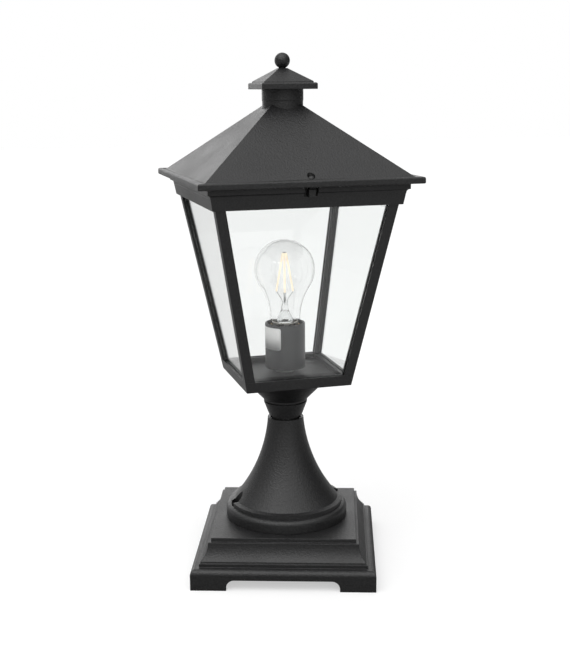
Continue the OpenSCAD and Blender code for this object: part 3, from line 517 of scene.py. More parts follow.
@dataclass(frozen=True)
class ClearGlass(Finish):
    """Clear glass that lets light through to what stands behind it."""

    tone: Colour
    ior: float = 1.45
    film: float = 0.02
    dust_roughness: float = 0.2

    def paint(self, effects: Effects, sketch: Sketch, skin: bpy.types.Node) -> None:
        """Draws the glass with a faint film, clear to the light that falls through it.

        Args:
            effects: the shared shader groups.
            sketch: the material's nodes.
            skin: its Principled BSDF.
        """
        dust = effects.use(sketch, effects.dust, Scale=30.0, Amount=0.1).outputs["Film"]
        smear = sketch.add("TexNoise", Vector=sketch.place(), Scale=22.0, Detail=3.0)
        streak = sketch.ramp(smear.outputs["Fac"], low=0.35, high=0.75, to_high=self.film)
        dull = sketch.maths("MULTIPLY", dust, self.dust_roughness)
        sketch.fill(skin, Base_Color=rgba(self.tone), IOR=self.ior, Transmission_Weight=1.0,
                    Roughness=sketch.maths("ADD", streak, dull))
        mix = sketch.add("MixShader")
        sketch.feed(mix.inputs[0], sketch.either_ray("Is Shadow Ray", "Is Diffuse Ray"))
        sketch.feed(mix.inputs[1], skin.outputs[0])
        sketch.feed(mix.inputs[2], sketch.add("BsdfTransparent", Color=WHITE).outputs[0])
        sketch.surface(mix)


@dataclass(frozen=True)
class Glow(Finish):
    """A coated rod that glows when the lamp is on."""

    tone: Colour
    light: Colour
    strength: float
    dim_share: float = 0.8
    roughness: float = 0.4

    def paint(self, effects: Effects, sketch: Sketch, skin: bpy.types.Node) -> None:
        """Draws the light, a little uneven along the rod.

        Args:
            effects: the shared shader groups.
            sketch: the material's nodes.
            skin: its Principled BSDF.
        """
        grain = effects.use(sketch, effects.grain, Grain_Scale=1200.0, Patch_Scale=120.0)
        dim = rgba(tuple(self.dim_share * v for v in self.light))
        sketch.fill(skin, Base_Color=rgba(self.tone), Roughness=self.roughness,
                    Emission_Strength=self.strength,
                    Emission_Color=sketch.blend(grain.outputs["Patch"], dim, rgba(self.light)))


FINISHES: dict[Slot, Finish] = {
    Slot.BLACK_PAINT: PowderCoat("Black powder coat"),
    Slot.ZINC_STEEL: Metal("Zinc-plated steel", (0.52, 0.53, 0.55), (0.4, 0.4, 0.38)),
    Slot.BRASS: Metal("Brass", (0.72, 0.5, 0.2), (0.5, 0.34, 0.14)),
    Slot.PANE_GLASS: ClearGlass("Pane glass", (0.94, 0.95, 0.945)),
    Slot.BULB_GLASS: ClearGlass("Bulb glass", (0.985, 0.985, 0.985), film=0.004),
    Slot.STEM_GLASS: ClearGlass("Stem glass", (0.975, 0.98, 0.98), 1.22, 0.01),
    Slot.GLOW_ROD: Glow("Glowing rod", (0.3, 0.24, 0.14), (1.0, 0.89, 0.71), 1.15),
    Slot.CAP_NICKEL: Metal("Nickel-plated cap", (0.62, 0.6, 0.56), (0.46, 0.44, 0.4), 0.26),
    Slot.BLACK_INSULATOR: Moulding("Black glass insulator", (0.01, 0.01, 0.014), (0.02, 0.02, 0.03), 0.15),
    Slot.HOLDER_PLASTIC: Moulding("Dark grey moulding", (0.034, 0.034, 0.036), (0.08, 0.08, 0.08), 0.42),
    Slot.HOLDER_CERAMIC: Moulding("Unglazed ceramic", (0.7, 0.68, 0.62), (0.8, 0.78, 0.72), 0.6),
    Slot.BLACK_NYLON: Moulding("Black nylon", (0.02, 0.02, 0.02), (0.035, 0.035, 0.035), 0.45),
    Slot.IVORY_PLASTIC: Moulding("Ivory moulding", (0.72, 0.66, 0.5), (0.76, 0.7, 0.55), 0.35),
    Slot.BROWN_SLEEVE: Moulding("Brown insulation", (0.12, 0.045, 0.02), (0.15, 0.06, 0.03), 0.4),
    Slot.BLUE_SLEEVE: Moulding("Blue insulation", (0.02, 0.09, 0.35), (0.03, 0.11, 0.4), 0.4),
    Slot.EARTH_SLEEVE: StripedSleeve("Green and yellow insulation", (0.05, 0.3, 0.06), (0.8, 0.65, 0.05)),
    Slot.RUBBER_RING: Moulding("Rubber ring", (0.015, 0.015, 0.015), (0.02, 0.02, 0.02), 0.7),
}
BLANK_LABEL = Moulding("Blank label paper", (0.9, 0.9, 0.89), (0.94, 0.94, 0.93), 0.5, 500.0, 0.00001)


# ---------------------------------------------------------------- shapes, in millimetres


def arc(centre: Point, radius: float, start: float, stop: float, steps: int) -> list[Point]:
    """Points along an arc of an outline.

    Args:
        centre: its middle, as distance from the axis and height.
        radius: its radius.
        start: angle of the first point, in degrees.
        stop: angle of the last point.
        steps: number of equal steps between them.

    Returns:
        The points.
    """
    turns = (math.radians(start + (stop - start) * i / steps) for i in range(steps + 1))
    return [(centre[0] + radius * math.cos(t), centre[1] + radius * math.sin(t)) for t in turns]


def turned(outline: Sequence[Point], closed: bool = False, steps: int = 96) -> Shape:
    """Turns half an outline round the lamp's axis, as on a lathe.

    Args:
        outline: distances from the axis and heights.
        closed: whether the last point joins the first.
        steps: faces round the axis.

    Returns:
        The turned shape.
    """
    mesh = bmesh.new()
    points = [mesh.verts.new((away, 0.0, height)) for away, height in outline]
    ends = points[1:] + points[:1] if closed else points[1:]
    lines = [mesh.edges.new(pair) for pair in zip(points, ends)]
    bmesh.ops.spin(mesh, geom=points + lines, cent=MIDDLE, axis=UPRIGHT, angle=math.tau, steps=steps,
                   use_merge=True)
    bmesh.ops.remove_doubles(mesh, verts=mesh.verts, dist=WELD)
    bmesh.ops.recalc_face_normals(mesh, faces=mesh.faces)
    return mesh


def rounded_bar(length: float, radius: float, steps: int = 24) -> Shape:
    """A bar with half-round ends, upright on the axis with its lower end at the origin.

    Args:
        length: its length over both ends.
        radius: its radius.
        steps: faces round it.

    Returns:
        The bar.
    """
    quarter = steps // 4
    foot = arc((0.0, radius), radius, -90.0, 0.0, quarter)
    return turned(foot + arc((0.0, length - radius), radius, 0.0, 90.0, quarter), steps=steps)


@dataclass(frozen=True)
class Thread:
    """A thread that is rolled or cut into a round wall."""

    radius: float
    low: float
    high: float
    pitch: float
    depth: float
    centre: Point = (0.0, 0.0)
    rows: int = 8

    def on_wall(self, point: Vector) -> bool:
        """Whether a point lies on the wall."""
        away = math.hypot(point.x - self.centre[0], point.y - self.centre[1])
        return abs(away - self.radius) < WALL_SLACK

    def cut(self, mesh: Shape) -> None:
        """Cuts the thread.

        Args:
            mesh: the shape whose wall gets it.
        """
        count = round((self.high - self.low) / self.pitch * self.rows)
        for row in range(count + 1):
            level = self.low + (self.high - self.low) * row / count
            wall = [face for face in mesh.faces if all(self.on_wall(vert.co) for vert in face.verts)]
            lines = {line for face in wall for line in face.edges}
            corners = {vert for face in wall for vert in face.verts}
            bmesh.ops.bisect_plane(mesh, geom=[*wall, *lines, *corners], dist=CUT_SLACK,
                                   plane_co=(0.0, 0.0, level), plane_no=UPRIGHT)
        for vert in mesh.verts:
            if self.low < vert.co.z < self.high and self.on_wall(vert.co):
                self.press(vert)

    def press(self, vert: bmesh.types.BMVert) -> None:
        """Moves one corner of the wall in, by its place along the thread.

        Args:
            vert: the corner.
        """
        across, along = vert.co.x - self.centre[0], vert.co.y - self.centre[1]
        turn = math.atan2(along, across) / math.tau
        fade = min(1.0, (vert.co.z - self.low) / self.pitch, (self.high - vert.co.z) / self.pitch)
        wave = 0.5 - 0.5 * math.cos(math.tau * (vert.co.z / self.pitch - turn))
        keep = 1.0 - self.depth * wave * fade / self.radius
        vert.co.x = self.centre[0] + across * keep
        vert.co.y = self.centre[1] + along * keep


def cut_across(mesh: Shape, place: Triple, normal: Triple, slack: float = CUT_SLACK) -> list:
    """Cuts a whole mesh along a plane.

    Args:
        mesh: the mesh.
        place: a point on the plane.
        normal: the plane's normal.
        slack: corners nearer to the plane than this lie on it.

    Returns:
        The corners and edges on the cut.
    """
    geometry = [*mesh.verts, *mesh.edges, *mesh.faces]
    cut = bmesh.ops.bisect_plane(mesh, geom=geometry, dist=slack, plane_co=place, plane_no=normal)
    return cut["geom_cut"]


def cut_seam(mesh: Shape, place: Triple, normal: Triple) -> None:
    """Cuts a mesh along a plane and marks the cut, so that no flat face reaches across it.

    Args:
        mesh: the mesh.
        place: a point on the plane.
        normal: the plane's normal.
    """
    for part in cut_across(mesh, place, normal, WELD):
        if isinstance(part, bmesh.types.BMEdge):
            part.seam = True


def merged_copy(source: bpy.types.Object, seams: Seams = ()) -> Shape:
    """A merged copy of a CAD node's mesh in millimetres, with its flat faces whole between seams.

    Args:
        source: the node's object.
        seams: further planes at which flat faces end.

    Returns:
        The copy.
    """
    mesh = bmesh.new()
    mesh.from_mesh(source.data)
    bmesh.ops.scale(mesh, vec=(1.0 / MM,) * 3, verts=mesh.verts)
    bmesh.ops.remove_doubles(mesh, verts=mesh.verts, dist=CAD_WELD)
    for place, normal in ((MIDDLE, (1.0, 0.0, 0.0)), (MIDDLE, (0.0, 1.0, 0.0)), *seams):
        cut_seam(mesh, place, normal)
    bmesh.ops.dissolve_limit(mesh, angle_limit=math.radians(FLAT_ANGLE), verts=mesh.verts, edges=mesh.edges,
                             use_dissolve_boundaries=False, delimit={"SEAM"})
    return mesh


def mark_edges(mesh: Shape, sharp_angle: float = SHARP_ANGLE, layer: str = "bevel_weight_edge") -> None:
    """Marks the edges of a mesh that turn more than some degrees.

    Args:
        mesh: the mesh.
        sharp_angle: the turn in degrees.
        layer: what is marked: bevel_weight_edge gets an edge rounded, crease_edge keeps it square.
    """
    mark = mesh.edges.layers.float.new(layer)
    for edge in mesh.edges:
        if len(edge.link_faces) == 2 and edge.calc_face_angle() > math.radians(sharp_angle):
            edge[mark] = 1.0


def mesh_data(name: str, mesh: Shape) -> bpy.types.Mesh:
    """Turns a shape into mesh data, and frees it.

    Args:
        name: the data's name.
        mesh: the shape.

    Returns:
        The mesh data.
    """
    data = bpy.data.meshes.new(name)
    mesh.to_mesh(data)
    mesh.free()
    return data


def add_object(name: str, data: bpy.types.ID) -> bpy.types.Object:
    """Puts a new object into the scene, at the origin and unturned.

    Args:
        name: its name.
        data: its mesh, camera or light.

    Returns:
        The object.
    """
    thing = bpy.data.objects.new(name, data)
    bpy.context.scene.collection.objects.link(thing)
    return thing


# ---------------------------------------------------------------- making pieces


class Workshop:
    """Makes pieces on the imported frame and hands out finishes."""

    def __init__(self, frame: dict) -> None:
        """Takes the loaded frame and builds every finish.
        """
        self.frame = frame
        self.effects = Effects()
        self.finishes = {slot: finish.material(self.effects) for slot, finish in FINISHES.items()}
        self.slots = {part["node"]: Slot(part["material_slot"]) for part in frame["record"]["subparts"]}
        self.bodies = {node: Body(body) for body, nodes in frame["record"]["behaviour"]["bodies"].items()
                       for node in nodes}

    def dress_node(self, node: str) -> None:
        """Gives a CAD node the finish of its slot.

        Args:
            node: the node's name.
        """
        materials = self.frame["nodes"][node].data.materials
        materials.clear()
        materials.append(self.finishes[self.slots[node]])
        LOG.info("%s keeps its shape, finish %s", node, self.slots[node].value)

    def piece(self, name: str, mesh: Shape, node: str, replaces: bool = True,
              material: Optional[bpy.types.Material] = None) -> bpy.types.Object:
        """Makes an object of a shape, on the body and with the finish of a CAD node.

        Args:
            name: the piece's name.
            mesh: its shape in millimetres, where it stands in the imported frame; it is freed.
            node: the CAD node that it belongs to.
            replaces: whether it stands in for that node.
            material: its own finish, where the slot's isn't right.

        Returns:
            The new object.
        """
        bmesh.ops.scale(mesh, vec=(MM,) * 3, verts=mesh.verts)
        for face in mesh.faces:
            face.smooth = True
        thing = add_object(name, mesh_data(name, mesh))
        thing.data.materials.append(material or self.finishes[self.slots[node]])
        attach(thing, self.bodies[node].value)
        if replaces:
            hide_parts(node)
        LOG.info("%s rides on %s", name, self.bodies[node].value)
        return thing

    @staticmethod
    def soften(thing: bpy.types.Object, width: float, segments: int = 3) -> None:
        """Rounds the marked edges of an object, and keeps its flat faces flat in the light.

        Args:
            thing: the object.
            width: the rounding's width in millimetres.
            segments: faces across the rounding.
        """
        edges = thing.modifiers.new("Soft edges", "BEVEL")
        edges.width = width * MM
        edges.segments = segments
        edges.limit_method = "WEIGHT"
        edges.miter_outer = "MITER_ARC"
        edges.harden_normals = True
        edges.use_clamp_overlap = True
        flats = thing.modifiers.new("Flat faces", "WEIGHTED_NORMAL")
        flats.mode = "FACE_AREA"

    @staticmethod
    def thicken(thing: bpy.types.Object, wall: float) -> None:
        """Gives a sheet a wall, inwards from its face.

        Args:
            thing: the sheet.
            wall: the wall in millimetres.
        """
        sheet = thing.modifiers.new("Wall", "SOLIDIFY")
        sheet.thickness = wall * MM
        sheet.offset = -1.0
        sheet.use_even_offset = True

    def softened(self, node: str, width: float, seams: Seams = (), thread: Optional[Thread] = None,
                 reshape: Optional[Callable[[Shape], None]] = None) -> None:
        """Builds a node's own form with rounded edges, and a thread where it has one.

        Args:
            node: the CAD node.
            width: width of the rounding in millimetres.
            seams: planes at which flat faces end, besides the two middle ones.
            thread: the thread on its round wall.
            reshape: moves corners of the form before its edges are marked.
        """
        mesh = merged_copy(self.frame["nodes"][node], seams)
        if reshape:
            reshape(mesh)
        mark_edges(mesh)
        if thread:
            thread.cut(mesh)
        self.soften(self.piece(f"{node}_form", mesh, node), width)

    def softened_each(self, width: float, *nodes: str) -> None:
        """Builds the softened forms of several nodes, with one width of rounding."""
        for node in nodes:
            self.softened(node, width)

    def smoothed(self, node: str, levels: int, square_angle: Optional[float] = None) -> None:
        """Builds a node's own form with smooth bends.

        Args:
            node: the CAD node.
            levels: how often its faces are divided.
            square_angle: edges that turn more than this, in degrees, stay square.
        """
        mesh = merged_copy(self.frame["nodes"][node])
        if square_angle:
            mark_edges(mesh, square_angle, "crease_edge")
        bends = self.piece(f"{node}_form", mesh, node).modifiers.new("Round", "SUBSURF")
        bends.levels = bends.render_levels = levels


# ---------------------------------------------------------------- sub-assemblies


@dataclass
class SubAssembly:
    """A part of the lamp, built by a workshop."""

    shop: Workshop

    def build(self) -> None:
        """Builds the part's pieces."""
        raise NotImplementedError


@dataclass
class Plinth(SubAssembly):
    """The square moulded casting on four bracket feet."""

    edge: float = 0.45

    def build(self) -> None:
        """Builds the plinth."""
        self.shop.softened("plinth", self.edge)


@dataclass
class Swivel(SubAssembly):
    """The plate and spindle that the lamp turns on, its nut, washer and cord entry."""

    spindle_r: float = 15.0
    thread_low: float = 23.6
    thread_high: float = 33.2
    thread_pitch: float = 1.5
    thread_depth: float = 0.7
    washer_bore_r: float = 15.3
    washer_r: float = 23.0
    washer_foot: float = 35.4
    washer_space: float = 1.6
    washer_t: float = 0.7
    washer_waves: int = 3
    washer_edge: float = 0.12
    edge: float = 0.3

    def build(self) -> None:
        """Builds the swivel's pieces."""
        self.shop.softened("swivel_plate", self.edge, thread=Thread(
            self.spindle_r, self.thread_low, self.thread_high, self.thread_pitch, self.thread_depth))
        self.washer()
        self.shop.softened_each(self.edge, "plate_screws", "clamp_nut", "cable_gland", "gland_nut")

    def washer(self) -> None:
        """Builds the wave washer, a flat ring that rises and falls round the spindle."""
        foot, top = self.washer_foot, self.washer_foot + self.washer_t
        mesh = turned([(self.washer_bore_r, foot), (self.washer_r, foot), (self.washer_r, top),
                       (self.washer_bore_r, top)], closed=True)
        mark_edges(mesh)
        swing = (self.washer_space - self.washer_t) / 2
        for vert in mesh.verts:
            turn = math.atan2(vert.co.y, vert.co.x)
            vert.co.z += swing * (1.0 + math.sin(self.washer_waves * turn))
        self.shop.soften(self.shop.piece("wave_washer_form", mesh, "wave_washer"), self.washer_edge)


@dataclass
class Pillar(SubAssembly):
    """The flared casting, and the terminals and leads inside it."""

    edge: float = 0.45
    small_edge: float = 0.2
    cut_end_angle: float = 75.0

    def build(self) -> None:
        """Builds the pillar and what is wired up in it."""
        half = math.sqrt(0.5)
        corner_planes = [(MIDDLE, (half, half, 0.0)), (MIDDLE, (half, -half, 0.0))]
        self.shop.softened("pillar", self.edge, corner_planes)
        self.shop.softened_each(self.small_edge, "terminal_bracket", "terminal_block", "terminal_screws",
                                "earth_tag", "earth_screw")
        for node in ("lead_live", "lead_neutral", "lead_earth"):
            self.shop.smoothed(node, 2, self.cut_end_angle)


@dataclass
class Stem(SubAssembly):
    """The threaded tube that clamps the lamp together, its nuts and the collar."""

    tube_r: float = 5.0
    tube_foot: float = 120.7
    pitch: float = 1.0
    depth: float = 0.45
    thread_length: float = 24.0
    tube_edge: float = 0.2
    edge: float = 0.35

    def build(self) -> None:
        """Builds the stem's pieces."""
        self.shop.softened("stem_tube", self.tube_edge, thread=Thread(
            self.tube_r, self.tube_foot, self.tube_foot + self.thread_length, self.pitch, self.depth))
        self.shop.softened_each(self.edge, "stem_nut_lower", "stem_nut_upper", "collar")


@dataclass
class LanternBody(SubAssembly):
    """The funnel with the floor, the glazed corner posts, the cornice and its hinge pins."""

    edge: float = 0.45
    pin_edge: float = 0.3
    hinge_z: ClassVar[float] = 387.0
    lug_half: float = 3.2
    lug_back: float = -88.0
    lug_top: float = 390.6
    lug_drop: float = 2.4

    def build(self) -> None:
        """Builds the lantern's frame and dresses its panes."""
        self.shop.softened_each(self.edge, "lantern_base", "corner_posts")
        hinge_level = ((0.0, 0.0, self.hinge_z), UPRIGHT)
        self.shop.softened("cornice", self.edge, [hinge_level], reshape=self.lower_lug)
        self.shop.softened("hinge_pins", self.pin_edge)
        for side in ("front", "right", "back", "left"):
            self.shop.dress_node(f"glass_{side}")

    def lower_lug(self, mesh: Shape) -> None:
        """Sets the top of the catch lug a little lower under the eave.

        Args:
            mesh: the cornice's form.
        """
        for vert in mesh.verts:
            across, along, level = vert.co
            if abs(across) < self.lug_half and along < self.lug_back and abs(level - self.lug_top) < NEAR:
                vert.co.z -= self.lug_drop


@dataclass
class Lampholder(SubAssembly):
    """The upright lampholder: shell, blank label, insert, threaded sleeve and contact."""

    shell_r: float = 20.0
    shell_t: float = 2.2
    shell_foot: float = 205.0
    shell_top: float = 248.4
    shell_edge: float = 0.15
    sleeve_r: float = 14.3
    sleeve_t: float = 0.35
    sleeve_foot: float = 229.9
    sleeve_top: float = 246.4
    sleeve_plain: float = 1.0
    sleeve_rows: int = 60
    lip: float = 3.0
    label_width: float = 28.8
    label_height: float = 22.2
    label_corner: float = 2.2
    label_t: float = 0.12
    label_gap: float = 0.02
    label_strips: int = 28
    label_turn: float = 201.3
    label_z: float = 234.4
    edge: float = 0.3
    contact_edge: float = 0.15

    def build(self) -> None:
        """Builds the lampholder's pieces."""
        self.shell()
        self.label()
        self.sleeve()
        self.shop.softened_each(self.edge, "holder_base", "holder_insert")
        self.shop.softened("centre_contact", self.contact_edge)

    def shell(self) -> None:
        """Builds the shell, with a rounded mouth."""
        outer, wall = self.shell_r, self.shell_t
        mouth = arc((outer - wall / 2, self.shell_top - wall / 2), wall / 2, 0.0, 180.0, 12)
        outline = [(outer - wall, self.shell_foot), (outer, self.shell_foot), *mouth]
        mesh = turned(outline, closed=True, steps=128)
        mark_edges(mesh)
        self.shop.soften(self.shop.piece("holder_shell_form", mesh, "holder_shell"), self.shell_edge, 2)

    def label(self) -> None:
        """Builds the blank paper label and bends it round the shell."""
        mesh = bmesh.new()
        bmesh.ops.create_grid(mesh, x_segments=1, y_segments=1, size=0.5)
        bmesh.ops.scale(mesh, vec=(self.label_width, self.label_height, 1.0), verts=mesh.verts)
        bmesh.ops.bevel(mesh, geom=list(mesh.verts), offset=self.label_corner, affect="VERTICES",
                        segments=5, profile=0.5, material=-1)
        for i in range(1, self.label_strips):
            across = self.label_width * (i / self.label_strips - 0.5)
            cut_across(mesh, (across, 0.0, 0.0), (1.0, 0.0, 0.0))
        middle = math.radians(self.label_turn)
        outside = self.shell_r + self.label_gap + self.label_t
        for vert in mesh.verts:
            turn = middle + vert.co.x / self.shell_r
            vert.co = Vector((outside * math.cos(turn), outside * math.sin(turn), self.label_z + vert.co.y))
        mesh.normal_update()
        outwards = Vector((math.cos(middle), math.sin(middle), 0.0))
        if sum(face.normal.dot(outwards) for face in mesh.faces) < 0.0:
            bmesh.ops.reverse_faces(mesh, faces=mesh.faces)
        paper = BLANK_LABEL.material(self.shop.effects)
        label = self.shop.piece("holder_label", mesh, "holder_shell", replaces=False, material=paper)
        self.shop.thicken(label, self.label_t)

    def sleeve(self) -> None:
        """Builds the brass sleeve that the bulb screws into, rolled to the bulb's own thread."""
        rise = self.sleeve_top - self.sleeve_foot
        wall = [(self.sleeve_r, self.sleeve_foot + rise * i / self.sleeve_rows)
                for i in range(self.sleeve_rows + 1)]
        mesh = turned([(self.sleeve_r - self.lip, self.sleeve_foot), *wall])
        Thread(self.sleeve_r, self.sleeve_foot + self.sleeve_plain, self.sleeve_top, Bulb.pitch,
               Bulb.thread_depth).cut(mesh)
        self.shop.thicken(self.shop.piece("thread_sleeve_form", mesh, "thread_sleeve"), self.sleeve_t)


@dataclass
class Bulb(SubAssembly):
    """The clear bulb: glass, screw cap, press, and four glowing rods on their wires."""

    pitch: ClassVar[float] = 3.6325
    thread_depth: ClassVar[float] = 0.8
    cap_r: float = 13.2
    cap_foot: float = 230.9
    cap_top: float = 250.4
    cap_t: float = 0.3
    cap_foot_round: float = 1.2
    cap_rim_round: float = 0.5
    cap_rim_z: float = 249.4
    cap_end: float = 3.0
    cap_lip: float = 4.0
    cap_rows: int = 64
    neck_r: float = 15.3
    neck_z: float = 252.4
    ball_r: float = 30.0
    ball_z: float = 301.6
    glass_t: float = 0.8
    glass_gap: float = 0.6
    glass_foot: float = 246.9
    flare_foot: float = 248.4
    press_foot: float = 261.4
    press_top: float = 266.4
    press_middle: float = 264.4
    press_reach: float = 6.0
    press_squeeze: float = 0.55
    press_gain: float = 1.6
    post_top: float = 279.1
    rods: int = 4
    rods_turn: float = -15.0
    rod_length: float = 39.0
    rod_r: float = 1.0
    rods_top: float = 318.1
    rods_top_r: float = 1.6
    rods_foot_r: float = 8.3
    insulator_edge: float = 0.2
    contact_edge: float = 0.3

    def build(self) -> None:
        """Builds the bulb's pieces."""
        self.glass()
        self.cap()
        self.stem()
        self.glow()
        self.shop.softened("cap_insulator", self.insulator_edge)
        self.shop.softened("cap_contact", self.contact_edge)
        self.shop.smoothed("rod_wires", 1)

    def glass(self) -> None:
        """Builds the glass as one smooth wall from its foot, inside the cap, to its top."""
        rise = self.ball_z - self.neck_z
        bend = (rise ** 2 + self.neck_r ** 2 - self.ball_r ** 2) / 2 / (self.ball_r - self.neck_r)
        swing = math.degrees(math.atan2(rise, bend + self.neck_r))
        foot_r = self.cap_r - self.glass_gap
        outline = [(foot_r, self.glass_foot), (foot_r, self.cap_top - self.glass_gap),
                   (self.cap_r - 0.2, self.cap_top + 0.2), (self.neck_r - 0.5, self.neck_z - 0.8)]
        outline += arc((self.neck_r + bend, self.neck_z), bend, 180.0, 180.0 - swing, 30)
        outline += arc((0.0, self.ball_z), self.ball_r, -swing, 90.0, 64)[1:]
        glass = self.shop.piece("bulb_glass_form", turned(outline, steps=160), "bulb_glass")
        self.shop.thicken(glass, self.glass_t)

    def cap(self) -> None:
        """Builds the screw cap from thin sheet, its thread rolled in."""
        foot_r, rim_r = self.cap_foot_round, self.cap_rim_round
        low, high = self.cap_foot + foot_r, self.cap_rim_z
        wall = [(self.cap_r, low + (high - low) * i / self.cap_rows) for i in range(self.cap_rows + 1)]
        foot = arc((self.cap_r - foot_r, low), foot_r, -90.0, 0.0, 5)
        rim = arc((self.cap_r - rim_r, high), rim_r, 0.0, 90.0, 4)
        mesh = turned([(self.cap_r - self.cap_lip, self.cap_foot), *foot[:-1], *wall, *rim[1:]])
        Thread(self.cap_r, low, high - self.cap_end, self.pitch, self.thread_depth).cut(mesh)
        self.shop.thicken(self.shop.piece("screw_cap_form", mesh, "screw_cap"), self.cap_t)

    def stem(self) -> None:
        """Builds the hollow glass flare, its flat press and the post that carries the rods."""
        flare, press = self.flare_foot, self.press_foot
        outside = [(10.1, flare), (8.0, flare + 4.0), (6.3, flare + 7.0), (4.8, flare + 10.5),
                   (3.7, press), (3.5, press + 2.5), (3.1, self.press_top)]
        post = [(2.0, self.press_top + 0.8), (1.5, self.press_top + 1.8), (1.3, self.press_top + 4.0),
                (1.2, self.post_top - 0.5), (0.7, self.post_top), (0.0, self.post_top)]
        inside = [(0.0, press - 0.8), (2.6, press - 1.6), (4.0, flare + 10.2), (5.6, flare + 6.7),
                  (7.3, flare + 3.7), (9.3, flare)]
        mesh = turned([*inside, *outside, *post], steps=48)
        bmesh.ops.bridge_loops(mesh, edges=[edge for edge in mesh.edges if edge.is_boundary])
        bmesh.ops.recalc_face_normals(mesh, faces=mesh.faces)
        for vert in mesh.verts:
            near = max(0.0, 1.0 - abs(vert.co.z - self.press_middle) / self.press_reach)
            vert.co.y *= 1.0 - self.press_squeeze * min(1.0, self.press_gain * near)
        self.shop.piece("bulb_stem_form", mesh, "bulb_stem")

    def glow(self) -> None:
        """Builds the glowing rods, which lean together at their tops."""
        mesh = bmesh.new()
        lean = math.asin((self.rods_foot_r - self.rods_top_r) / self.rod_length)
        for i in range(self.rods):
            bar = rounded_bar(self.rod_length, self.rod_r)
            turn = math.radians(self.rods_turn + 360.0 * i / self.rods)
            place = Matrix.Rotation(turn, 4, "Z") @ Matrix.Translation(
                (self.rods_top_r, 0.0, self.rods_top)) @ Matrix.Rotation(math.pi - lean, 4, "Y")
            bmesh.ops.transform(bar, matrix=place, verts=bar.verts)
            data = mesh_data("bar", bar)
            mesh.from_mesh(data)
            bpy.data.meshes.remove(data)
        self.shop.piece("glow_rods_form", mesh, "glow_rods")


@dataclass
class Roof(SubAssembly):
    """The pyramid roof, its chimney cap, and the ball and nut that hold them together."""

    edge: float = 0.45
    finial_edge: float = 0.2
    nut_edge: float = 0.25
    bead_in: float = 99.0
    bead_out: float = 105.5
    bead_foot: float = 390.8
    bead_back: float = 396.5
    bead_top: float = 397.2
    bead_round: float = 2.0
    foot_share: float = 0.6
    mitre_share: float = 0.25
    stud: Thread = Thread(2.5, 456.4, 464.0, 0.8, 0.4)
    recess_y: float = -93.4
    recess_r: float = 4.5
    recess_floor: float = 396.6
    recess_share: float = 0.81
    foot_half: float = 97.5
    pitch: float = 37.9

    def build(self) -> None:
        """Builds the roof's pieces."""
        hinge_level = ((0.0, 0.0, LanternBody.hinge_z), UPRIGHT)
        self.shop.softened("roof", self.edge, [hinge_level], reshape=self.tighten_recess)
        self.bead()
        self.shop.softened("chimney_cap", self.edge)
        self.shop.softened("finial", self.finial_edge, thread=self.stud)
        self.shop.softened("finial_nut", self.nut_edge)

    def tighten_recess(self, mesh: Shape) -> None:
        """Draws the recess round the catch's head in, its rim along the slope.

        Args:
            mesh: the roof's form.
        """
        slope = math.tan(math.radians(self.pitch))
        for vert in mesh.verts:
            across, along = vert.co.x, vert.co.y - self.recess_y
            if abs(math.hypot(across, along) - self.recess_r) > NEAR or vert.co.z < self.recess_floor - NEAR:
                continue
            before = max(0.0, self.foot_half + vert.co.y)
            vert.co.x = across * self.recess_share
            vert.co.y = self.recess_y + along * self.recess_share
            if vert.co.z > self.recess_floor + NEAR:
                vert.co.z += slope * (max(0.0, self.foot_half + vert.co.y) - before)

    def bead(self) -> None:
        """Builds the moulding along the eave: a mitred ring, round at its top and foot."""
        corner = math.sqrt(2.0)
        section = [(self.bead_in, self.bead_foot), (self.bead_out, self.bead_foot),
                   (self.bead_out, self.bead_top), (self.bead_in, self.bead_back)]
        mesh = turned([(corner * away, level) for away, level in section], closed=True, steps=4)
        bmesh.ops.rotate(mesh, cent=MIDDLE, matrix=Matrix.Rotation(math.pi / 4, 3, "Z"), verts=mesh.verts)
        weight = mesh.edges.layers.float.new("bevel_weight_edge")
        for edge in mesh.edges:
            levels = [vert.co.z for vert in edge.verts]
            if min(levels) > self.bead_top - NEAR:
                edge[weight] = 1.0
            elif all(max(abs(vert.co.x), abs(vert.co.y)) > self.bead_out - NEAR for vert in edge.verts):
                edge[weight] = self.foot_share if max(levels) < self.bead_foot + NEAR else self.mitre_share
        self.shop.soften(self.shop.piece("roof_eave_bead", mesh, "roof", replaces=False), self.bead_round, 6)


@dataclass
class Catch(SubAssembly):
    """The captive screw that holds the roof down, and its ring."""

    shank_r: float = 2.0
    head_r: float = 3.5
    head_h: float = 3.6
    catch_y: float = -93.4
    foot: float = 382.1
    seat: float = 396.6
    thread_high: float = 389.0
    pitch: float = 0.7
    depth: float = 0.4
    lip: float = 0.5
    screw_edge: float = 0.15
    ring_edge: float = 0.12

    def build(self) -> None:
        """Builds the catch's pieces."""
        self.screw()
        self.shop.softened("catch_ring", self.ring_edge)

    def screw(self) -> None:
        """Builds the screw with its low domed head."""
        shank, head, thread_low = self.shank_r, self.head_r, self.foot + self.lip
        dome = [(away, self.seat + self.lip + (self.head_h - self.lip) * level / head)
                for away, level in arc((0.0, 0.0), head, 0.0, 90.0, 12)]
        mesh = turned([(0.0, self.foot), (shank - self.lip, self.foot), (shank, thread_low),
                       (shank, self.seat), (head, self.seat), *dome[:-1],
                       (0.0, self.seat + self.head_h)], steps=48)
        bmesh.ops.translate(mesh, vec=(0.0, self.catch_y, 0.0), verts=mesh.verts)
        mark_edges(mesh)
        Thread(shank, thread_low, self.thread_high, self.pitch, self.depth, (0.0, self.catch_y)).cut(mesh)
        self.shop.soften(self.shop.piece("catch_screw_form", mesh, "catch_screw"), self.screw_edge)


# ---------------------------------------------------------------- studio


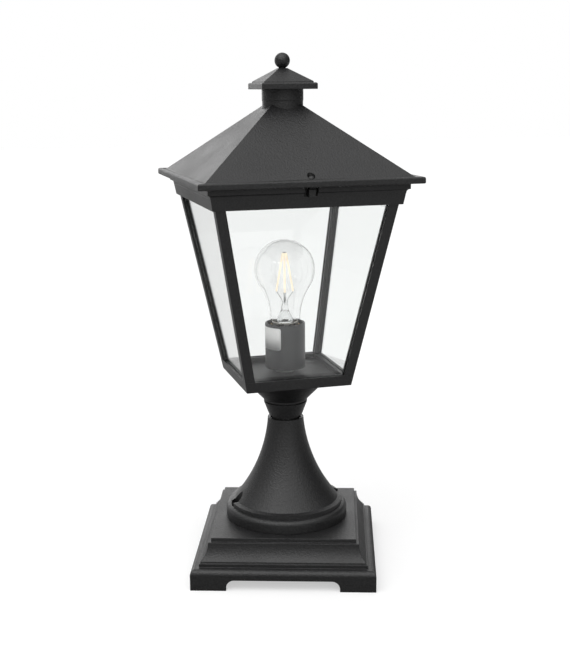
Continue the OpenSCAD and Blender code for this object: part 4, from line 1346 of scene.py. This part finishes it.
@dataclass
class Studio:
    """The floor, the lamps, the pale surroundings and the camera."""

    camera_place: Triple = (-0.29143, -1.05320, 0.4803)
    camera_azimuth: float = 15.48
    camera_pitch: float = 12.2124
    camera_roll: float = -0.555
    focal_length: float = 61.67
    sensor: float = 36.0
    near_and_far: Point = (0.01, 50.0)
    lantern_middle: Triple = (0.0, 0.0, 0.28)
    floor_half: float = 8.0
    floor_glow: float = 0.5
    floor_tone: float = 0.5
    unseen_floor_tone: float = 0.22
    mirrored_floor: float = 0.27
    # Painted shadow on the floor as reflections see it: its glow is nil nearer to the lamp's axis than the
    # next distance, in metres, and full beyond the one after it.
    painted_shadow_core: float = 0.17
    painted_shadow_edge: float = 0.3
    # Where a panel stands, how bright it is, and how tightly its light is gathered.
    panels: tuple[tuple[Triple, float, float], ...] = (
        ((0.0, 0.0, 1.0), 1.23, 4.0),
        ((0.0, -1.0, 0.25), 0.1, 4.0),
        ((0.0, -0.7, 0.7), 1.55, 4.0),
        ((-0.7, 0.0, 0.7), 0.85, 4.0),
        ((0.0, 1.0, 0.1), 2.3, 8.0),
        ((0.45, 0.8, 0.4), 0.6, 20.0),
        ((0.7, -0.7, 0.1), 0.06, 5.0),
    )
    # A lamp's name, place, size and power.
    lamps: tuple[tuple[str, Triple, float, float], ...] = (
        ("Key", (-1.2, -1.0, 2.0), 1.4, 11.5),
    )

    def build(self) -> None:
        """Builds the whole studio."""
        self.make_camera()
        self.make_floor()
        self.make_world()
        for name, place, size, power in self.lamps:
            self.make_lamp(name, place, size, power)

    def make_camera(self) -> None:
        """Places the camera where the photograph was taken from."""
        turn, tilt = math.radians(self.camera_azimuth), math.radians(self.camera_pitch)
        roll = math.radians(self.camera_roll)
        ahead = Vector((math.sin(turn) * math.cos(tilt), math.cos(turn) * math.cos(tilt), -math.sin(tilt)))
        across = Vector((math.cos(turn), -math.sin(turn), 0.0))
        above = across.cross(ahead)
        right = across * math.cos(roll) + above * math.sin(roll)
        up = above * math.cos(roll) - across * math.sin(roll)
        data = bpy.data.cameras.new("Camera")
        data.lens = self.focal_length
        data.sensor_width = self.sensor
        data.sensor_fit = "AUTO"
        data.clip_start, data.clip_end = self.near_and_far
        camera = add_object("Camera", data)
        camera.matrix_world = Matrix.Translation(self.camera_place) @ Matrix(
            (right, up, -ahead)).transposed().to_4x4()
        bpy.context.scene.camera = camera

    def make_floor(self) -> None:
        """Makes the pale floor, which shows white and keeps a soft shadow, and whose glow in reflections
        carries a painted shadow near the lamp.
        """
        mesh = bmesh.new()
        bmesh.ops.create_grid(mesh, x_segments=1, y_segments=1, size=self.floor_half)
        floor = add_object("Floor", mesh_data("Floor", mesh))
        material, sketch, skin = new_material("Pale floor")
        seen = sketch.either_ray("Is Camera Ray", "Is Transmission Ray")
        unseen_tone, seen_tone = (rgba((tone,) * 3) for tone in (self.unseen_floor_tone, self.floor_tone))
        sketch.fill(skin, Base_Color=sketch.blend(seen, unseen_tone, seen_tone), Roughness=0.9,
                    Specular_IOR_Level=0.0)
        # Painted shadow: the glow that reflections see on the floor is dark near the lamp's axis and rises to
        # full further out.
        away = sketch.add("VectorMath", {"operation": "LENGTH"})
        sketch.feed(away.inputs[0], sketch.place())
        painted_shadow_ramp = sketch.ramp(away.outputs["Value"], self.painted_shadow_core, self.painted_shadow_edge,
                            to_high=self.mirrored_floor)
        mirrored = sketch.maths("MULTIPLY", sketch.add("LightPath").outputs["Is Glossy Ray"], painted_shadow_ramp)
        strength = sketch.maths("MAXIMUM", mirrored, sketch.maths("MULTIPLY", seen, self.floor_glow))
        both = sketch.add("AddShader")
        sketch.feed(both.inputs[0], skin.outputs[0])
        sketch.feed(both.inputs[1], sketch.add("Emission", Color=WHITE, Strength=strength).outputs[0])
        sketch.surface(both)
        floor.data.materials.append(material)

    def make_world(self) -> None:
        """Makes surroundings that look white and light the lamp at a plain level."""
        world = bpy.data.worlds.new("Studio")
        bpy.context.scene.world = world
        world.use_nodes = True
        sketch = Sketch(world.node_tree)
        back = world.node_tree.nodes["Background"]
        towards = sketch.add("TexCoord").outputs["Generated"]
        lit: object = 0.0
        for direction, strength, spread in self.panels:
            facing = sketch.add("VectorMath", {"operation": "DOT_PRODUCT"})
            sketch.feed(facing.inputs[0], towards)
            sketch.feed(facing.inputs[1], tuple(Vector(direction).normalized()))
            soft = sketch.maths("POWER", sketch.maths("MAXIMUM", facing.outputs["Value"], 0.0), spread)
            lit = sketch.maths("ADD", lit, sketch.maths("MULTIPLY", soft, strength))
        seen = sketch.either_ray("Is Camera Ray", "Is Transmission Ray")
        unseen = sketch.maths("MULTIPLY", lit, sketch.maths("SUBTRACT", 1.0, seen))
        sketch.fill(back, Color=WHITE, Strength=sketch.maths("ADD", unseen, seen))

    def make_lamp(self, name: str, place: Triple, size: float, power: float) -> None:
        """Makes a square soft lamp that looks at the lantern's middle.

        Args:
            name: its name.
            place: where it stands.
            size: its side in metres.
            power: its power in watts.
        """
        data = bpy.data.lights.new(name, "AREA")
        data.shape = "SQUARE"
        data.size = size
        data.energy = power
        towards = Vector(self.lantern_middle) - Vector(place)
        turn = towards.to_track_quat("-Z", "Y").to_matrix().to_4x4()
        add_object(name, data).matrix_world = Matrix.Translation(place) @ turn


def main() -> None:
    """Builds the studio and the lamp, sub-assembly by sub-assembly."""
    logging.basicConfig(level=logging.INFO, format="%(name)s: %(message)s")
    for thing in list(bpy.data.objects):
        bpy.data.objects.remove(thing)
    bpy.context.scene.view_settings.view_transform = "Standard"
    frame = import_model()
    Studio().build()
    shop = Workshop(frame)
    for part in (Plinth, Swivel, Pillar, Stem, LanternBody, Lampholder, Bulb, Roof, Catch):
        part(shop).build()
        LOG.info("%s is built", part.__name__)


if __name__ == "__main__":
    main()
